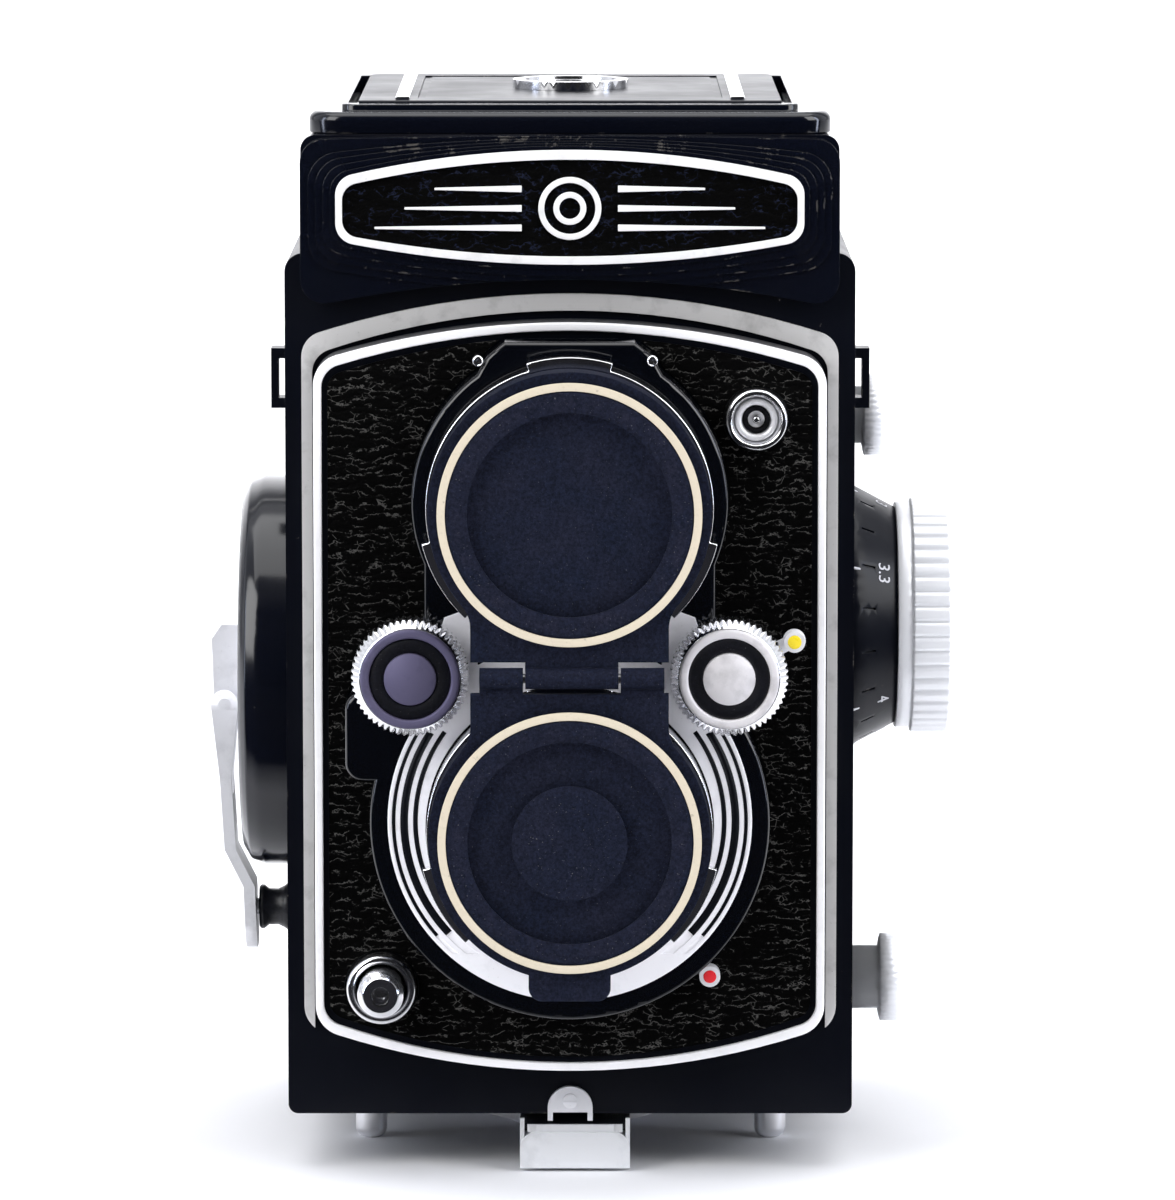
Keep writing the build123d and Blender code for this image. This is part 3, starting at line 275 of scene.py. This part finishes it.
def clear_glass(name, tint=(0.75, 0.8, 0.95), rough=0.02):
    """Coated optical glass with faint dust."""
    g = Graph(name)
    place = g.place()
    dust = g.ramp(g.noise(place, 3.5, 4, 0.7), 0.66, 0.8)
    colour = g.mix(g.math("MULTIPLY", dust, 0.2), tint, (0.9, 0.9, 0.9))
    roughness = g.ramp(dust, 0.0, 1.0, rough, 0.35)
    return g.set(Base_Color=colour, Roughness=roughness, Transmission_Weight=1.0, IOR=1.52)


def mirror_silver(name):
    """Surface-coated mirror with haze and a few tarnish spots."""
    g = Graph(name)
    place = g.place()
    haze = g.noise(place, 0.2, 4)
    spots = g.ramp(g.noise(place, 1.6, 4, 0.7), 0.7, 0.78)
    colour = g.mix(g.math("MULTIPLY", spots, 0.3), (0.9, 0.9, 0.92), (0.4, 0.4, 0.4))
    return g.set(Base_Color=colour, Metallic=1.0, Roughness=g.ramp(haze, 0.4, 0.8, 0.02, 0.1))


def ground_glass(name):
    """Finely ground screen with thin guide lines."""
    g = Graph(name)
    place = g.place()
    grain = g.noise(place, 8.0, 3)
    lines = []
    for axis in ("X", "Y"):
        lines.append(g.ramp(g.node("ShaderNodeTexWave", {"Vector": place, "Scale": 0.035, "Distortion": 0.0},
                                   bands_direction=axis).outputs["Fac"], 0.996, 1.0))
    line = g.math("MAXIMUM", *lines)
    colour = g.mix(g.math("MULTIPLY", line, 0.6), (0.75, 0.78, 0.76), (0.05, 0.05, 0.05))
    return g.set(Base_Color=colour, Roughness=g.ramp(grain, 0.3, 0.7, 0.35, 0.5), Transmission_Weight=0.4,
                 Normal=g.bump(grain, 0.15, 0.02 * MM))


ENAMEL = black_enamel("black_enamel_gloss")
ENAMEL_SOFT = black_enamel("black_enamel_satin", rough=0.28, wear=0.8, shine=0.22, peel=0.12)
ENAMEL_DOOR = black_enamel("black_enamel_door", rough=0.28, wear=0.8, shine=0.22, peel=0.12,
                           metal_part=("Z", 7.56, 7.52))
ENAMEL_HOUSING = black_enamel("housing_lacquer", base=(0.0012, 0.0016, 0.003), rough=0.05, wear=0.3)
LEATHER = leatherette("crinkle_leatherette")
# Faint blue painted highlights along the nameplate covering's creases.
NAME_LEATHER = leatherette("nameplate_leatherette", pitch=2.4, painted_glint_colour=(0.012, 0.016, 0.036))
RIM = metal("satin_white_metal", (0.95, 0.94, 0.95), 0.36, grime=0.15, bare=0.12,
            black_part_and_painted_shade=("Y", -43.3, -43.1))
TRIM = metal("nameplate_satin_metal", (0.9, 0.89, 0.88), 0.42, grime=0.3, bare=0.2)
BAND = metal("grey_satin_band", (0.62, 0.61, 0.6), 0.46, spread=0.14, scratch=0.6, grime=0.5, bare=0.2)
PLATE = metal("brushed_shutter_plate", (0.96, 0.95, 0.98), 0.3, streak=(0.15, 1, 1), grime=0.25, bare=0.15)
CHROME = metal("plated_chrome", (0.88, 0.88, 0.9), 0.09, spread=0.12, scratch=0.15, grime=0.2)
SATIN_CHROME = metal("satin_chrome", (0.88, 0.88, 0.91), 0.26, spread=0.12, grime=0.3, bare=0.3)
BRIGHT = metal("bright_turned_metal", (0.93, 0.94, 0.97), 0.28, spread=0.12, grime=0.12, bare=0.2)
# The lip is painted black behind its front face: painted shade where the bar sits in shadow.
LIP = metal("lip_satin_metal", (0.92, 0.93, 0.95), 0.32, grime=0.25, bare=0.5,
            black_part_and_painted_shade=("Y", -37.45, -37.35))
STEEL = metal("worked_steel", (0.5, 0.5, 0.52), 0.3)
GREY_DISC = metal("grey_wheel_disc", (0.72, 0.7, 0.72), 0.5, spread=0.2, grime=0.5, bare=0.3)
DARK_DISC = metal("dark_wheel_disc", (0.1, 0.09, 0.165), 0.5, spread=0.2, grime=0.6, bare=0.3)
CAP_UPPER_BLACK = matt_black("upper_cap_flock", centre=VIEW)
CAP_LOWER_BLACK = matt_black("lower_cap_flock", centre=TAKE)
WHEEL_BLACK = matt_black("wheel_textured_black", base=(0.002, 0.0025, 0.005), speck=0.35, rough=0.4,
                         shine=0.4)
INNER_BLACK = matt_black("inner_matt_black", base=(0.003, 0.003, 0.003), speck=0.03, rough=0.85)
HANDLE_BLACK = matt_black("handle_black", base=(0.008, 0.009, 0.012), speck=0.1, rough=0.35, shine=0.4)
STRIPE = paint("stripe_black", (0.0025, 0.003, 0.006), rough=0.4, dirt=0.1, shine=0.2)
CREAM = paint("cream_ring", (0.6, 0.53, 0.41), dirt=0.3)
WHITE = paint("white_marks", (0.6, 0.6, 0.64), dirt=0.3)
RED = paint("red_dot", (0.72, 0.012, 0.02), rough=0.3, dirt=0.2)
YELLOW = paint("yellow_dot", (0.8, 0.62, 0.02), rough=0.3, dirt=0.25)
GLASS = clear_glass("coated_glass")
MIRROR = mirror_silver("mirror_silver")
SCREEN = ground_glass("ground_glass")


# ---- Mesh helpers --------------------------------------------------------------------------------

SHARP_EDGE = 35


def dress(obj, bevel):
    """Merges split points, rounds sharp edges and smooths the shading."""
    for face in obj.data.polygons:
        face.use_smooth = True
    weld = obj.modifiers.new("weld", "WELD")
    weld.merge_threshold = 0.002 * MM
    if bevel:
        rounding = obj.modifiers.new("bevel", "BEVEL")
        rounding.width = bevel * MM
        rounding.segments = 2
        rounding.limit_method = "ANGLE"
        rounding.angle_limit = math.radians(SHARP_EDGE)
        rounding.miter_outer = "MITER_ARC"
    normals = obj.modifiers.new("normals", "WEIGHTED_NORMAL")
    normals.keep_sharp = True


def coat(node, material, bevel):
    """Gives a CAD node its material and rounded edges."""
    obj = nodes[node]
    for place in obj.material_slots:
        place.material = material
    if not obj.material_slots:
        obj.data.materials.append(material)
    dress(obj, bevel)


def new_piece(name, mesh_data, material, body):
    obj = bpy.data.objects.new(name, mesh_data)
    bpy.context.scene.collection.objects.link(obj)
    obj.data.materials.append(material)
    dress(obj, 0)
    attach(obj, body)
    return obj


def frame_for(axis):
    """Two directions across an axis."""
    along = Vector(axis).normalized()
    side = Vector((0, 0, 1)) if abs(along.z) < 0.9 else Vector((1, 0, 0))
    across = along.cross(side).normalized()
    return along, across, along.cross(across)


def lathe(name, profile, centre, axis, body, material, steps=128, teeth=0, sharp=1.4):
    """Turned piece. Profile rows are (distance along, radius[, notch depth]) in millimetres, closed."""
    along, across, up = frame_for(axis)
    if teeth:
        steps = teeth * 8
    mesh = bmesh.new()
    rings = []
    for row in profile:
        distance, radius = row[0] * MM, row[1] * MM
        notch = row[2] * MM if len(row) > 2 else 0.0
        ring = []
        if radius <= 1e-9:
            ring = [mesh.verts.new(centre + along * distance)] * steps
        else:
            for i in range(steps):
                phi = 2 * math.pi * i / steps
                groove = notch * (0.5 - 0.5 * math.cos(teeth * phi)) ** sharp if notch else 0.0
                direction = across * math.cos(phi) + up * math.sin(phi)
                ring.append(mesh.verts.new(centre + along * distance + direction * (radius - groove)))
        rings.append(ring)
    for first, second in zip(rings, rings[1:] + rings[:1]):
        for i in range(steps):
            j = (i + 1) % steps
            corners = []
            for vert in (first[i], first[j], second[j], second[i]):
                if vert not in corners:
                    corners.append(vert)
            if len(corners) > 2:
                mesh.faces.new(corners)
    bmesh.ops.recalc_face_normals(mesh, faces=mesh.faces)
    data = bpy.data.meshes.new(name)
    mesh.to_mesh(data)
    mesh.free()
    return new_piece(name, data, material, body)


# ---- CAD nodes: materials and rounded edges ------------------------------------------------------

for node, material, bevel in (
    ("body_shell", ENAMEL_SOFT, 0.35),
    ("top_housing", ENAMEL, 0.25),
    ("hood_base", ENAMEL, 0.2),
    ("hood_lid", ENAMEL_SOFT, 0.15),
    ("crank_dish", ENAMEL, 0.25),
    ("strap_lugs", ENAMEL_SOFT, 0.15),
    ("side_leather", LEATHER, 0.1),
    ("front_leather", LEATHER, 0.1),
    ("back_leather", LEATHER, 0.1),
    ("nameplate_panel", NAME_LEATHER, 0.05),
    ("nameplate_trim", TRIM, 0.08),
    ("trim_band", BAND, 0.18),
    ("front_rim", RIM, 0.2),
    ("front_plate", ENAMEL_SOFT, 0.1),
    ("catch_tab", SATIN_CHROME, 0.12),
    ("lock_bar", LIP, 0.3),
    ("reflex_mirror", MIRROR, 0.0),
    ("focusing_screen", SCREEN, 0.0),
    ("back_hinge_pin", STEEL, 0.05),
    ("focus_shaft", STEEL, 0.1),
    ("lens_housing", ENAMEL_HOUSING, 0.3),
    ("shutter_plate", PLATE, 0.06),
    ("viewing_barrel", INNER_BLACK, 0.1),
    ("taking_barrel", INNER_BLACK, 0.1),
    ("viewing_bayonet", CHROME, 0.18),
    ("taking_bayonet", CHROME, 0.18),
    ("viewing_glass", GLASS, 0.0),
    ("taking_glass", GLASS, 0.0),
    ("shutter_blades", STEEL, 0.02),
    ("release_button", CHROME, 0.3),
    ("flash_sync_lever", SATIN_CHROME, 0.12),
    ("self_timer_lever", SATIN_CHROME, 0.12),
    ("cap_lower", CAP_LOWER_BLACK, 0.35),
    ("cap_upper", CAP_UPPER_BLACK, 0.35),
    ("cap_hinge_pin", STEEL, 0.05),
    ("crank_hub", SATIN_CHROME, 0.2),
    ("crank_arm", SATIN_CHROME, 0.25),
    ("takeup_spool", HANDLE_BLACK, 0.1),
    ("supply_spool", HANDLE_BLACK, 0.1),
    ("lid_trim", CHROME, 0.1),
    ("hood_left_flap", ENAMEL_SOFT, 0.08),
    ("hood_right_flap", ENAMEL_SOFT, 0.08),
    ("hood_back_flap", ENAMEL_SOFT, 0.08),
    ("magnifier_frame", ENAMEL_SOFT, 0.12),
    ("magnifier_lens", GLASS, 0.0),
    ("back_door", ENAMEL_DOOR, 0.2),
    ("pressure_plate", ENAMEL_SOFT, 0.1),
    ("tripod_bush", SATIN_CHROME, 0.2),
    ("lock_ring", SATIN_CHROME, 0.2),
    ("focus_dial", ENAMEL_SOFT, 0.15),
):
    coat(node, material, bevel)


# ---- Thumb wheels --------------------------------------------------------------------------------

def thumb_wheel(prefix, body, disc_material):
    """Knurled wheel with a polished bevel, a grey inner ring, a wrinkled black ring and a plain disc."""
    box_low, box_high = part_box(prefix + "_wheel")
    centre = Vector(((box_low.x + box_high.x) / 2, box_low.y, (box_low.z + box_high.z) / 2))
    into = (0, 1, 0)
    knurl = [(0.75, 5.5), (0.75, 6.6), (0.9, 6.75), (1.9, 7.6, 0.12), (2.15, 7.8, 0.3), (5.6, 7.8, 0.3),
             (5.95, 7.5, 0.2), (6.2, 7.0), (6.2, 2.2), (14.8, 2.2), (14.8, 0), (0.75, 0)]
    wheel = lathe(prefix + "_knurl", knurl, centre, into, body, CHROME, teeth=56)
    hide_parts(prefix + "_wheel")
    rim = [(0.8, 6.6), (0.3, 6.56), (0.08, 6.42), (0.02, 6.2), (0.02, 5.7), (0.1, 5.5), (0.35, 5.4),
           (0.8, 5.4)]
    lathe(prefix + "_rim", rim, centre, into, body, disc_material)
    ring = [(0.95, 5.4), (0.55, 5.35), (0.42, 5.1), (0.38, 4.5), (0.42, 3.75), (0.55, 3.5), (0.95, 3.46)]
    pad = lathe(prefix + "_ring", ring, centre, into, body, WHEEL_BLACK)
    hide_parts(prefix + "_cap")
    disc = [(0.95, 3.44), (0.2, 3.44), (0.06, 3.34), (0.04, 0), (0.95, 0)]
    lathe(prefix + "_disc", disc, centre, into, body, disc_material)


thumb_wheel("aperture", "aperture", DARK_DISC)
thumb_wheel("speed", "speed", GREY_DISC)


# ---- Terminal, release collar and lever dots -----------------------------------------------------

def fittings():
    terminal = middle("sync_terminal")
    terminal.y = high_of("sync_terminal").y
    forward = (0, -1, 0)
    collar = [(0, 4.3), (1.2, 4.3), (2.1, 4.1), (2.4, 3.75), (2.4, 3.45), (2.1, 3.2), (1.2, 2.95), (0, 2.9)]
    outer = lathe("terminal_collar", collar, terminal, forward, "front_standard", CHROME)
    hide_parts("sync_terminal")
    well = [(0, 2.9), (1.0, 2.9), (1.5, 2.7), (1.55, 2.3), (1.3, 2.0), (0.4, 1.9), (0.4, 0), (0, 0)]
    lathe("terminal_well", well, terminal, forward, "front_standard", SATIN_CHROME)
    socket = [(0.4, 1.85), (1.1, 1.8), (1.2, 1.6), (1.2, 1.3), (0.8, 1.15), (0.4, 1.1)]
    lathe("terminal_insulator", socket, terminal, forward, "front_standard", INNER_BLACK)
    pin = [(0.4, 0.5), (1.4, 0.5), (1.6, 0.3), (1.6, 0), (0.4, 0)]
    lathe("terminal_pin", pin, terminal, forward, "front_standard", CHROME, steps=32)
    button = middle("release_collar")
    button.y = high_of("release_collar").y
    ring = [(0, 4.9), (1.6, 4.9), (2.7, 4.6), (3.0, 4.2), (3.0, 3.9), (2.5, 3.45), (1.5, 3.17), (0, 3.17)]
    guard = lathe("release_guard", ring, button, forward, "front_standard", CHROME)
    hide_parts("release_collar")


def lever_dot(node, body, material, radius, x, z):
    """Painted dot on a lever's round end."""
    front = low_of(node).y
    dot = [(0.1, radius), (-0.05, radius - 0.05), (-0.09, radius - 0.2), (-0.1, 0), (0.1, 0)]
    lathe(node + "_dot", dot, Vector((x, front, z)), (0, 1, 0), body, material, steps=48)


fittings()
lever_dot("flash_sync_lever", "flash_sync", YELLOW, 0.95, high_of("flash_sync_lever").x - 1.5 * MM,
          high_of("flash_sync_lever").z - 1.5 * MM)
TIMER_ANGLE = math.radians(-48.4)
TIMER_REACH = 28.2
TIMER = Vector((math.cos(TIMER_ANGLE), 0, math.sin(TIMER_ANGLE))) * TIMER_REACH * MM
lever_dot("self_timer_lever", "self_timer", RED, 0.9, TAKE.x + TIMER.x, TAKE.z + TIMER.z)


# ---- Shutter plate and housing screws ------------------------------------------------------------

def arc_strip(name, centre, radius, width, first, last, front, depth, body, material):
    """Flat strip that follows an arc, with square ends."""
    mesh = bmesh.new()
    steps = 72
    rows = []
    for i in range(steps + 1):
        phi = math.radians(first + (last - first) * i / steps)
        direction = Vector((math.cos(phi), 0, math.sin(phi)))
        row = []
        for reach in (radius - width / 2, radius + width / 2):
            for y in (front, front + depth):
                point = centre + direction * reach * MM
                row.append(mesh.verts.new((point.x, y, point.z)))
        rows.append(row)
    for a, b in zip(rows, rows[1:]):
        for p, q in ((0, 2), (2, 3), (3, 1), (1, 0)):
            mesh.faces.new((a[p], a[q], b[q], b[p]))
    mesh.faces.new((rows[0][0], rows[0][1], rows[0][3], rows[0][2]))
    mesh.faces.new((rows[-1][2], rows[-1][3], rows[-1][1], rows[-1][0]))
    bmesh.ops.recalc_face_normals(mesh, faces=mesh.faces)
    data = bpy.data.meshes.new(name)
    mesh.to_mesh(data)
    mesh.free()
    return new_piece(name, data, material, body)


def plate_stripes():
    """Black stripes that follow both sides of the shutter plate."""
    centre = Vector((TAKE.x, 0, TAKE.z + 0.8 * MM))
    front = low_of("shutter_plate").y - 0.03 * MM
    for side, base in (("right", 0), ("left", 180)):
        sign = 1 if side == "right" else -1
        for i, (radius, width, low, high) in enumerate(((23.4, 0.45, -41, 31), (22.0, 1.0, -43, 33),
                                                        (20.5, 0.6, -46, 36))):
            arc_strip("plate_stripe_%s_%d" % (side, i), centre, radius, width, base + sign * low,
                      base + sign * high, front, 0.25 * MM, "front_standard", STRIPE)


def housing_screws():
    front = low_of("lens_housing").y
    head = [(0.4, 0.75), (-0.12, 0.75), (-0.3, 0.62), (-0.38, 0.35), (-0.3, 0.2), (-0.3, 0), (0.4, 0)]
    for name, x in (("left", -12.1), ("right", 10.9)):
        spot = Vector((VIEW.x + x * MM, front, VIEW.z + 18.9 * MM))
        lathe("hump_screw_" + name, head, spot, (0, 1, 0), "front_standard", CHROME, steps=40)


plate_stripes()
housing_screws()


# ---- Lens caps -----------------------------------------------------------------------------------

def cap_lines(prefix, body, lens, material):
    """Cream line inlaid round a lens cap, and the soft step inside it."""
    centre = Vector((lens.x, CAP_FRONT, lens.z))
    line = [(-0.01, 16.27), (-0.035, 16.38), (-0.04, 16.8), (-0.035, 17.22), (-0.01, 17.33), (0.4, 17.33),
            (0.4, 16.27)]
    lathe(prefix + "_line", line, centre, (0, 1, 0), body, CREAM)
    step = [(0.03, 13.4), (-0.02, 14.3), (-0.035, 15.0), (-0.02, 15.7), (0.02, 16.1), (0.3, 16.1),
            (0.3, 13.4)]
    lathe(prefix + "_step", step, centre, (0, 1, 0), body, material)


cap_lines("upper_cap", "upper_cap", VIEW, CAP_UPPER_BLACK)
cap_lines("lower_cap", "lower_cap", TAKE, CAP_LOWER_BLACK)
boss = [(0.2, 7.6), (0.02, 7.6), (-0.015, 6.0), (-0.04, 4.0), (-0.05, 2.0), (-0.05, 0), (0.2, 0)]
lathe("lower_cap_boss", boss, Vector((TAKE.x, CAP_FRONT, TAKE.z)), (0, 1, 0), "lower_cap", CAP_LOWER_BLACK)


# ---- Focus knob ----------------------------------------------------------------------------------

def focus_knob():
    low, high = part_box("focus_grip")
    centre = Vector((low.x, (low.y + high.y) / 2, (low.z + high.z) / 2))
    radius = (high.z - low.z) / 2 / MM
    out = (1, 0, 0)
    profile = [(0, radius - 0.75), (0.15, radius - 0.6), (1.75, radius - 0.6), (1.95, radius - 0.75),
               (2.05, radius - 0.55), (2.15, radius - 0.1, 0.45), (2.4, radius, 0.5), (6.9, radius, 0.5),
               (7.3, radius - 0.25, 0.45), (7.6, radius - 0.8, 0.2), (8.0, radius - 1.6), (8.5, radius - 2.7),
               (8.5, 12.2), (9.1, 11.6), (9.1, 9.0), (8.8, 8.7), (8.8, 0), (0, 0)]
    knob = lathe("focus_knob_grip", profile, centre, out, "focus_knob", BRIGHT, teeth=48,
                 sharp=6.0)
    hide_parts("focus_grip")


CONE_WIDE, CONE_NARROW = 17.8, 14.9
CONE_START, CONE_END = 0.8, 6.3
NUMBER_PLACE, INDEX_PLACE = 4.3, 1.1


def dial_marks():
    """Distance numbers round the black cone, set along its slope, each with an index line."""
    low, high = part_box("focus_dial")
    centre = Vector((low.x, (low.y + high.y) / 2, (low.z + high.z) / 2))
    slope = math.atan2(CONE_WIDE - CONE_NARROW, CONE_END - CONE_START)
    for i, (label, angle) in enumerate((("3.3", 152), ("4", 219), ("5", 262), ("6", 288), ("8", 312),
                                        ("10", 334), ("15", 356), ("30", 22), ("60", 52), ("3", 100))):
        turn = math.radians(angle)
        outward = Vector((math.sin(slope), math.cos(slope) * math.cos(turn),
                          math.cos(slope) * math.sin(turn)))
        around = Vector((0, -math.sin(turn), math.cos(turn)))
        up = outward.cross(around)
        curve = bpy.data.curves.new("number", "FONT")
        curve.body = label
        curve.size = 2.5 * MM
        curve.extrude = 0.04 * MM
        curve.align_x = "CENTER"
        curve.align_y = "CENTER"
        text = bpy.data.objects.new("dial_number_%d" % i, curve)
        bpy.context.scene.collection.objects.link(text)
        radius = CONE_WIDE - (NUMBER_PLACE - CONE_START) * math.tan(slope)
        spot = Vector((NUMBER_PLACE, radius * math.cos(turn), radius * math.sin(turn))) * MM
        matrix = Matrix((around, up, outward)).transposed().to_4x4()
        matrix.translation = centre + spot + outward * 0.01 * MM
        text.matrix_world = matrix
        curve.materials.append(WHITE)
        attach(text, "focus_knob")
        radius = CONE_WIDE - (INDEX_PLACE - CONE_START) * math.tan(slope)
        start = Vector((INDEX_PLACE, radius * math.cos(turn), radius * math.sin(turn))) * MM
        index = [(0, 0), (0, 0.12), (0.1, 0.17), (1.4, 0.17), (1.5, 0.12), (1.5, 0)]
        lathe("dial_index_%d" % i, index, centre + start - outward * 0.08 * MM, -up, "focus_knob", WHITE,
              steps=12)


focus_knob()
dial_marks()


# ---- Spool knobs ---------------------------------------------------------------------------------

def spool_knob(prefix, body):
    low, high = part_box(prefix + "_spool_knob")
    centre = Vector((0, (low.y + high.y) / 2, (low.z + high.z) / 2))
    radius = (high.z - low.z) / 2 / MM
    end = high.x / MM
    profile = [(low.x / MM, 0), (low.x / MM, 2.0), (38.4, 2.0), (38.4, radius - 1.7),
               (end - 3.2, radius - 1.7), (end - 3.0, radius - 0.7), (end - 2.8, radius, 0.1),
               (end - 0.5, radius, 0.1), (end - 0.2, radius - 0.5), (end, radius - 1.2),
               (end, radius - 2.6), (end - 0.2, radius - 2.9), (end - 0.2, 0)]
    knob = lathe(prefix + "_pull_knob", profile, centre, (1, 0, 0), body, BRIGHT, teeth=40)
    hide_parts(prefix + "_spool_knob")


spool_knob("upper", "upper_knob")
spool_knob("lower", "lower_knob")


# ---- Crank ---------------------------------------------------------------------------------------

def crank_pieces():
    low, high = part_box("crank_handle")
    centre = Vector((low.x, (low.y + high.y) / 2, (low.z + high.z) / 2))
    profile = [(0.1, 1.25), (0, 1.6), (0, 2.8), (0.3, 3.1), (0.7, 3.05), (1.3, 2.55), (2.6, 2.5), (3.4, 2.9),
               (4.0, 3.3), (4.3, 3.1), (4.4, 2.7), (4.4, 1.25)]
    handle = lathe("crank_grip", profile, centre, (1, 0, 0), "handle", HANDLE_BLACK,
                   steps=64)
    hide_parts("crank_handle")
    dish_low, dish_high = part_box("crank_dish")
    face = Vector((dish_low.x, (dish_low.y + dish_high.y) / 2, (dish_low.z + dish_high.z) / 2))
    rim = [(0.05, 24.6), (0, 24.4), (0, 23.9), (0.1, 23.6), (0.5, 23.5), (0.5, 24.8)]
    lathe("dish_rim", rim, face, (1, 0, 0), "camera_body", CHROME)


crank_pieces()


# ---- Stage, lights and camera --------------------------------------------------------------------

def stage():
    mesh = bmesh.new()
    half, back, height, bend = 4.0, 2.6, 4.0, 0.8
    rows = [(-4.0, 0.0)]
    rows += [(back - bend + bend * math.sin(a * math.pi / 24), bend - bend * math.cos(a * math.pi / 24))
             for a in range(13)]
    rows.append((back, height))
    pairs = [[mesh.verts.new((x, y, z)) for x in (-half, half)] for y, z in rows]
    for first, second in zip(pairs, pairs[1:]):
        mesh.faces.new((first[0], first[1], second[1], second[0]))
    data = bpy.data.meshes.new("studio_floor")
    mesh.to_mesh(data)
    mesh.free()
    floor = bpy.data.objects.new("studio_floor", data)
    bpy.context.scene.collection.objects.link(floor)
    for face in data.polygons:
        face.use_smooth = True
    g = Graph("studio_paper")
    fleck = g.noise(g.place(), 0.01, 3)
    # For glossy rays only, the floor in front of the object turns near-black: a painted dark reflection for
    # the black parts, not shade on the floor.
    mirrored = g.node("ShaderNodeLightPath").outputs["Is Glossy Ray"]
    painted_dark_reflection = g.math("MULTIPLY", mirrored, g.along("Y", -42, -75))
    paper = g.mix(fleck, (0.93, 0.93, 0.95), (0.9, 0.9, 0.92))
    data.materials.append(g.set(Base_Color=g.mix(painted_dark_reflection, paper, (0.012, 0.012, 0.014)), Roughness=0.7,
                                Specular_IOR_Level=0.0))


def softbox(name, place, target, width, height, power, colour=(1, 1, 1)):
    light = bpy.data.lights.new(name, "AREA")
    light.shape = "RECTANGLE"
    light.size = width
    light.size_y = height
    light.energy = power
    light.color = colour
    obj = bpy.data.objects.new(name, light)
    bpy.context.scene.collection.objects.link(obj)
    obj.location = place
    obj.rotation_euler = (Vector(target) - Vector(place)).to_track_quat("-Z", "Y").to_euler()


def surroundings():
    world = bpy.data.worlds.new("studio")
    bpy.context.scene.world = world
    world.use_nodes = True
    tree = world.node_tree
    tree.nodes.clear()
    out = tree.nodes.new("ShaderNodeOutputWorld")
    seen = tree.nodes.new("ShaderNodeBackground")
    seen.inputs["Color"].default_value = (1, 1, 1, 1)
    seen.inputs["Strength"].default_value = 1.0
    lit = tree.nodes.new("ShaderNodeBackground")
    lit.inputs["Color"].default_value = (0.93, 0.95, 1.0, 1)
    coord = tree.nodes.new("ShaderNodeTexCoord")
    parts = tree.nodes.new("ShaderNodeSeparateXYZ")
    fade = tree.nodes.new("ShaderNodeMapRange")
    for key, value in (("From Min", -0.75), ("From Max", 0.25), ("To Min", 0.015), ("To Max", 1.0)):
        fade.inputs[key].default_value = value
    tree.links.new(coord.outputs["Generated"], parts.inputs[0])
    tree.links.new(parts.outputs["Y"], fade.inputs["Value"])
    tree.links.new(fade.outputs["Result"], lit.inputs["Strength"])
    path = tree.nodes.new("ShaderNodeLightPath")
    mix = tree.nodes.new("ShaderNodeMixShader")
    tree.links.new(path.outputs["Is Camera Ray"], mix.inputs[0])
    tree.links.new(lit.outputs[0], mix.inputs[1])
    tree.links.new(seen.outputs[0], mix.inputs[2])
    tree.links.new(mix.outputs[0], out.inputs["Surface"])


def camera():
    data = bpy.data.cameras.new("camera")
    data.sensor_width = 36
    data.lens = 225
    data.clip_end = 50
    obj = bpy.data.objects.new("camera", data)
    bpy.context.scene.collection.objects.link(obj)
    obj.location = (2.35 * MM, -1036 * MM, 208.6 * MM)
    obj.rotation_euler = (math.radians(90 - 7.45), 0, 0)
    bpy.context.scene.camera = obj


stage()
surroundings()
aim = (0, 0, 0.07)
softbox("left_softbox", (-0.85, -0.75, 0.75), aim, 0.7, 0.9, 10.5)
softbox("right_softbox", (0.95, -0.6, 0.7), aim, 0.6, 0.9, 8.5)
softbox("left_strip", (-1.05, -0.3, 0.2), aim, 0.12, 1.1, 4.0, (0.72, 0.8, 1.0))
softbox("right_strip", (1.05, -0.25, 0.25), aim, 0.12, 1.1, 4.0, (0.72, 0.8, 1.0))
softbox("top_softbox", (0.0, -0.05, 1.2), aim, 1.4, 1.0, 10.0)
softbox("back_wash", (0.0, 1.2, 1.6), (0, 2.4, 0.6), 2.5, 1.0, 60.0)
camera()
bpy.context.scene.view_settings.view_transform = "Standard"
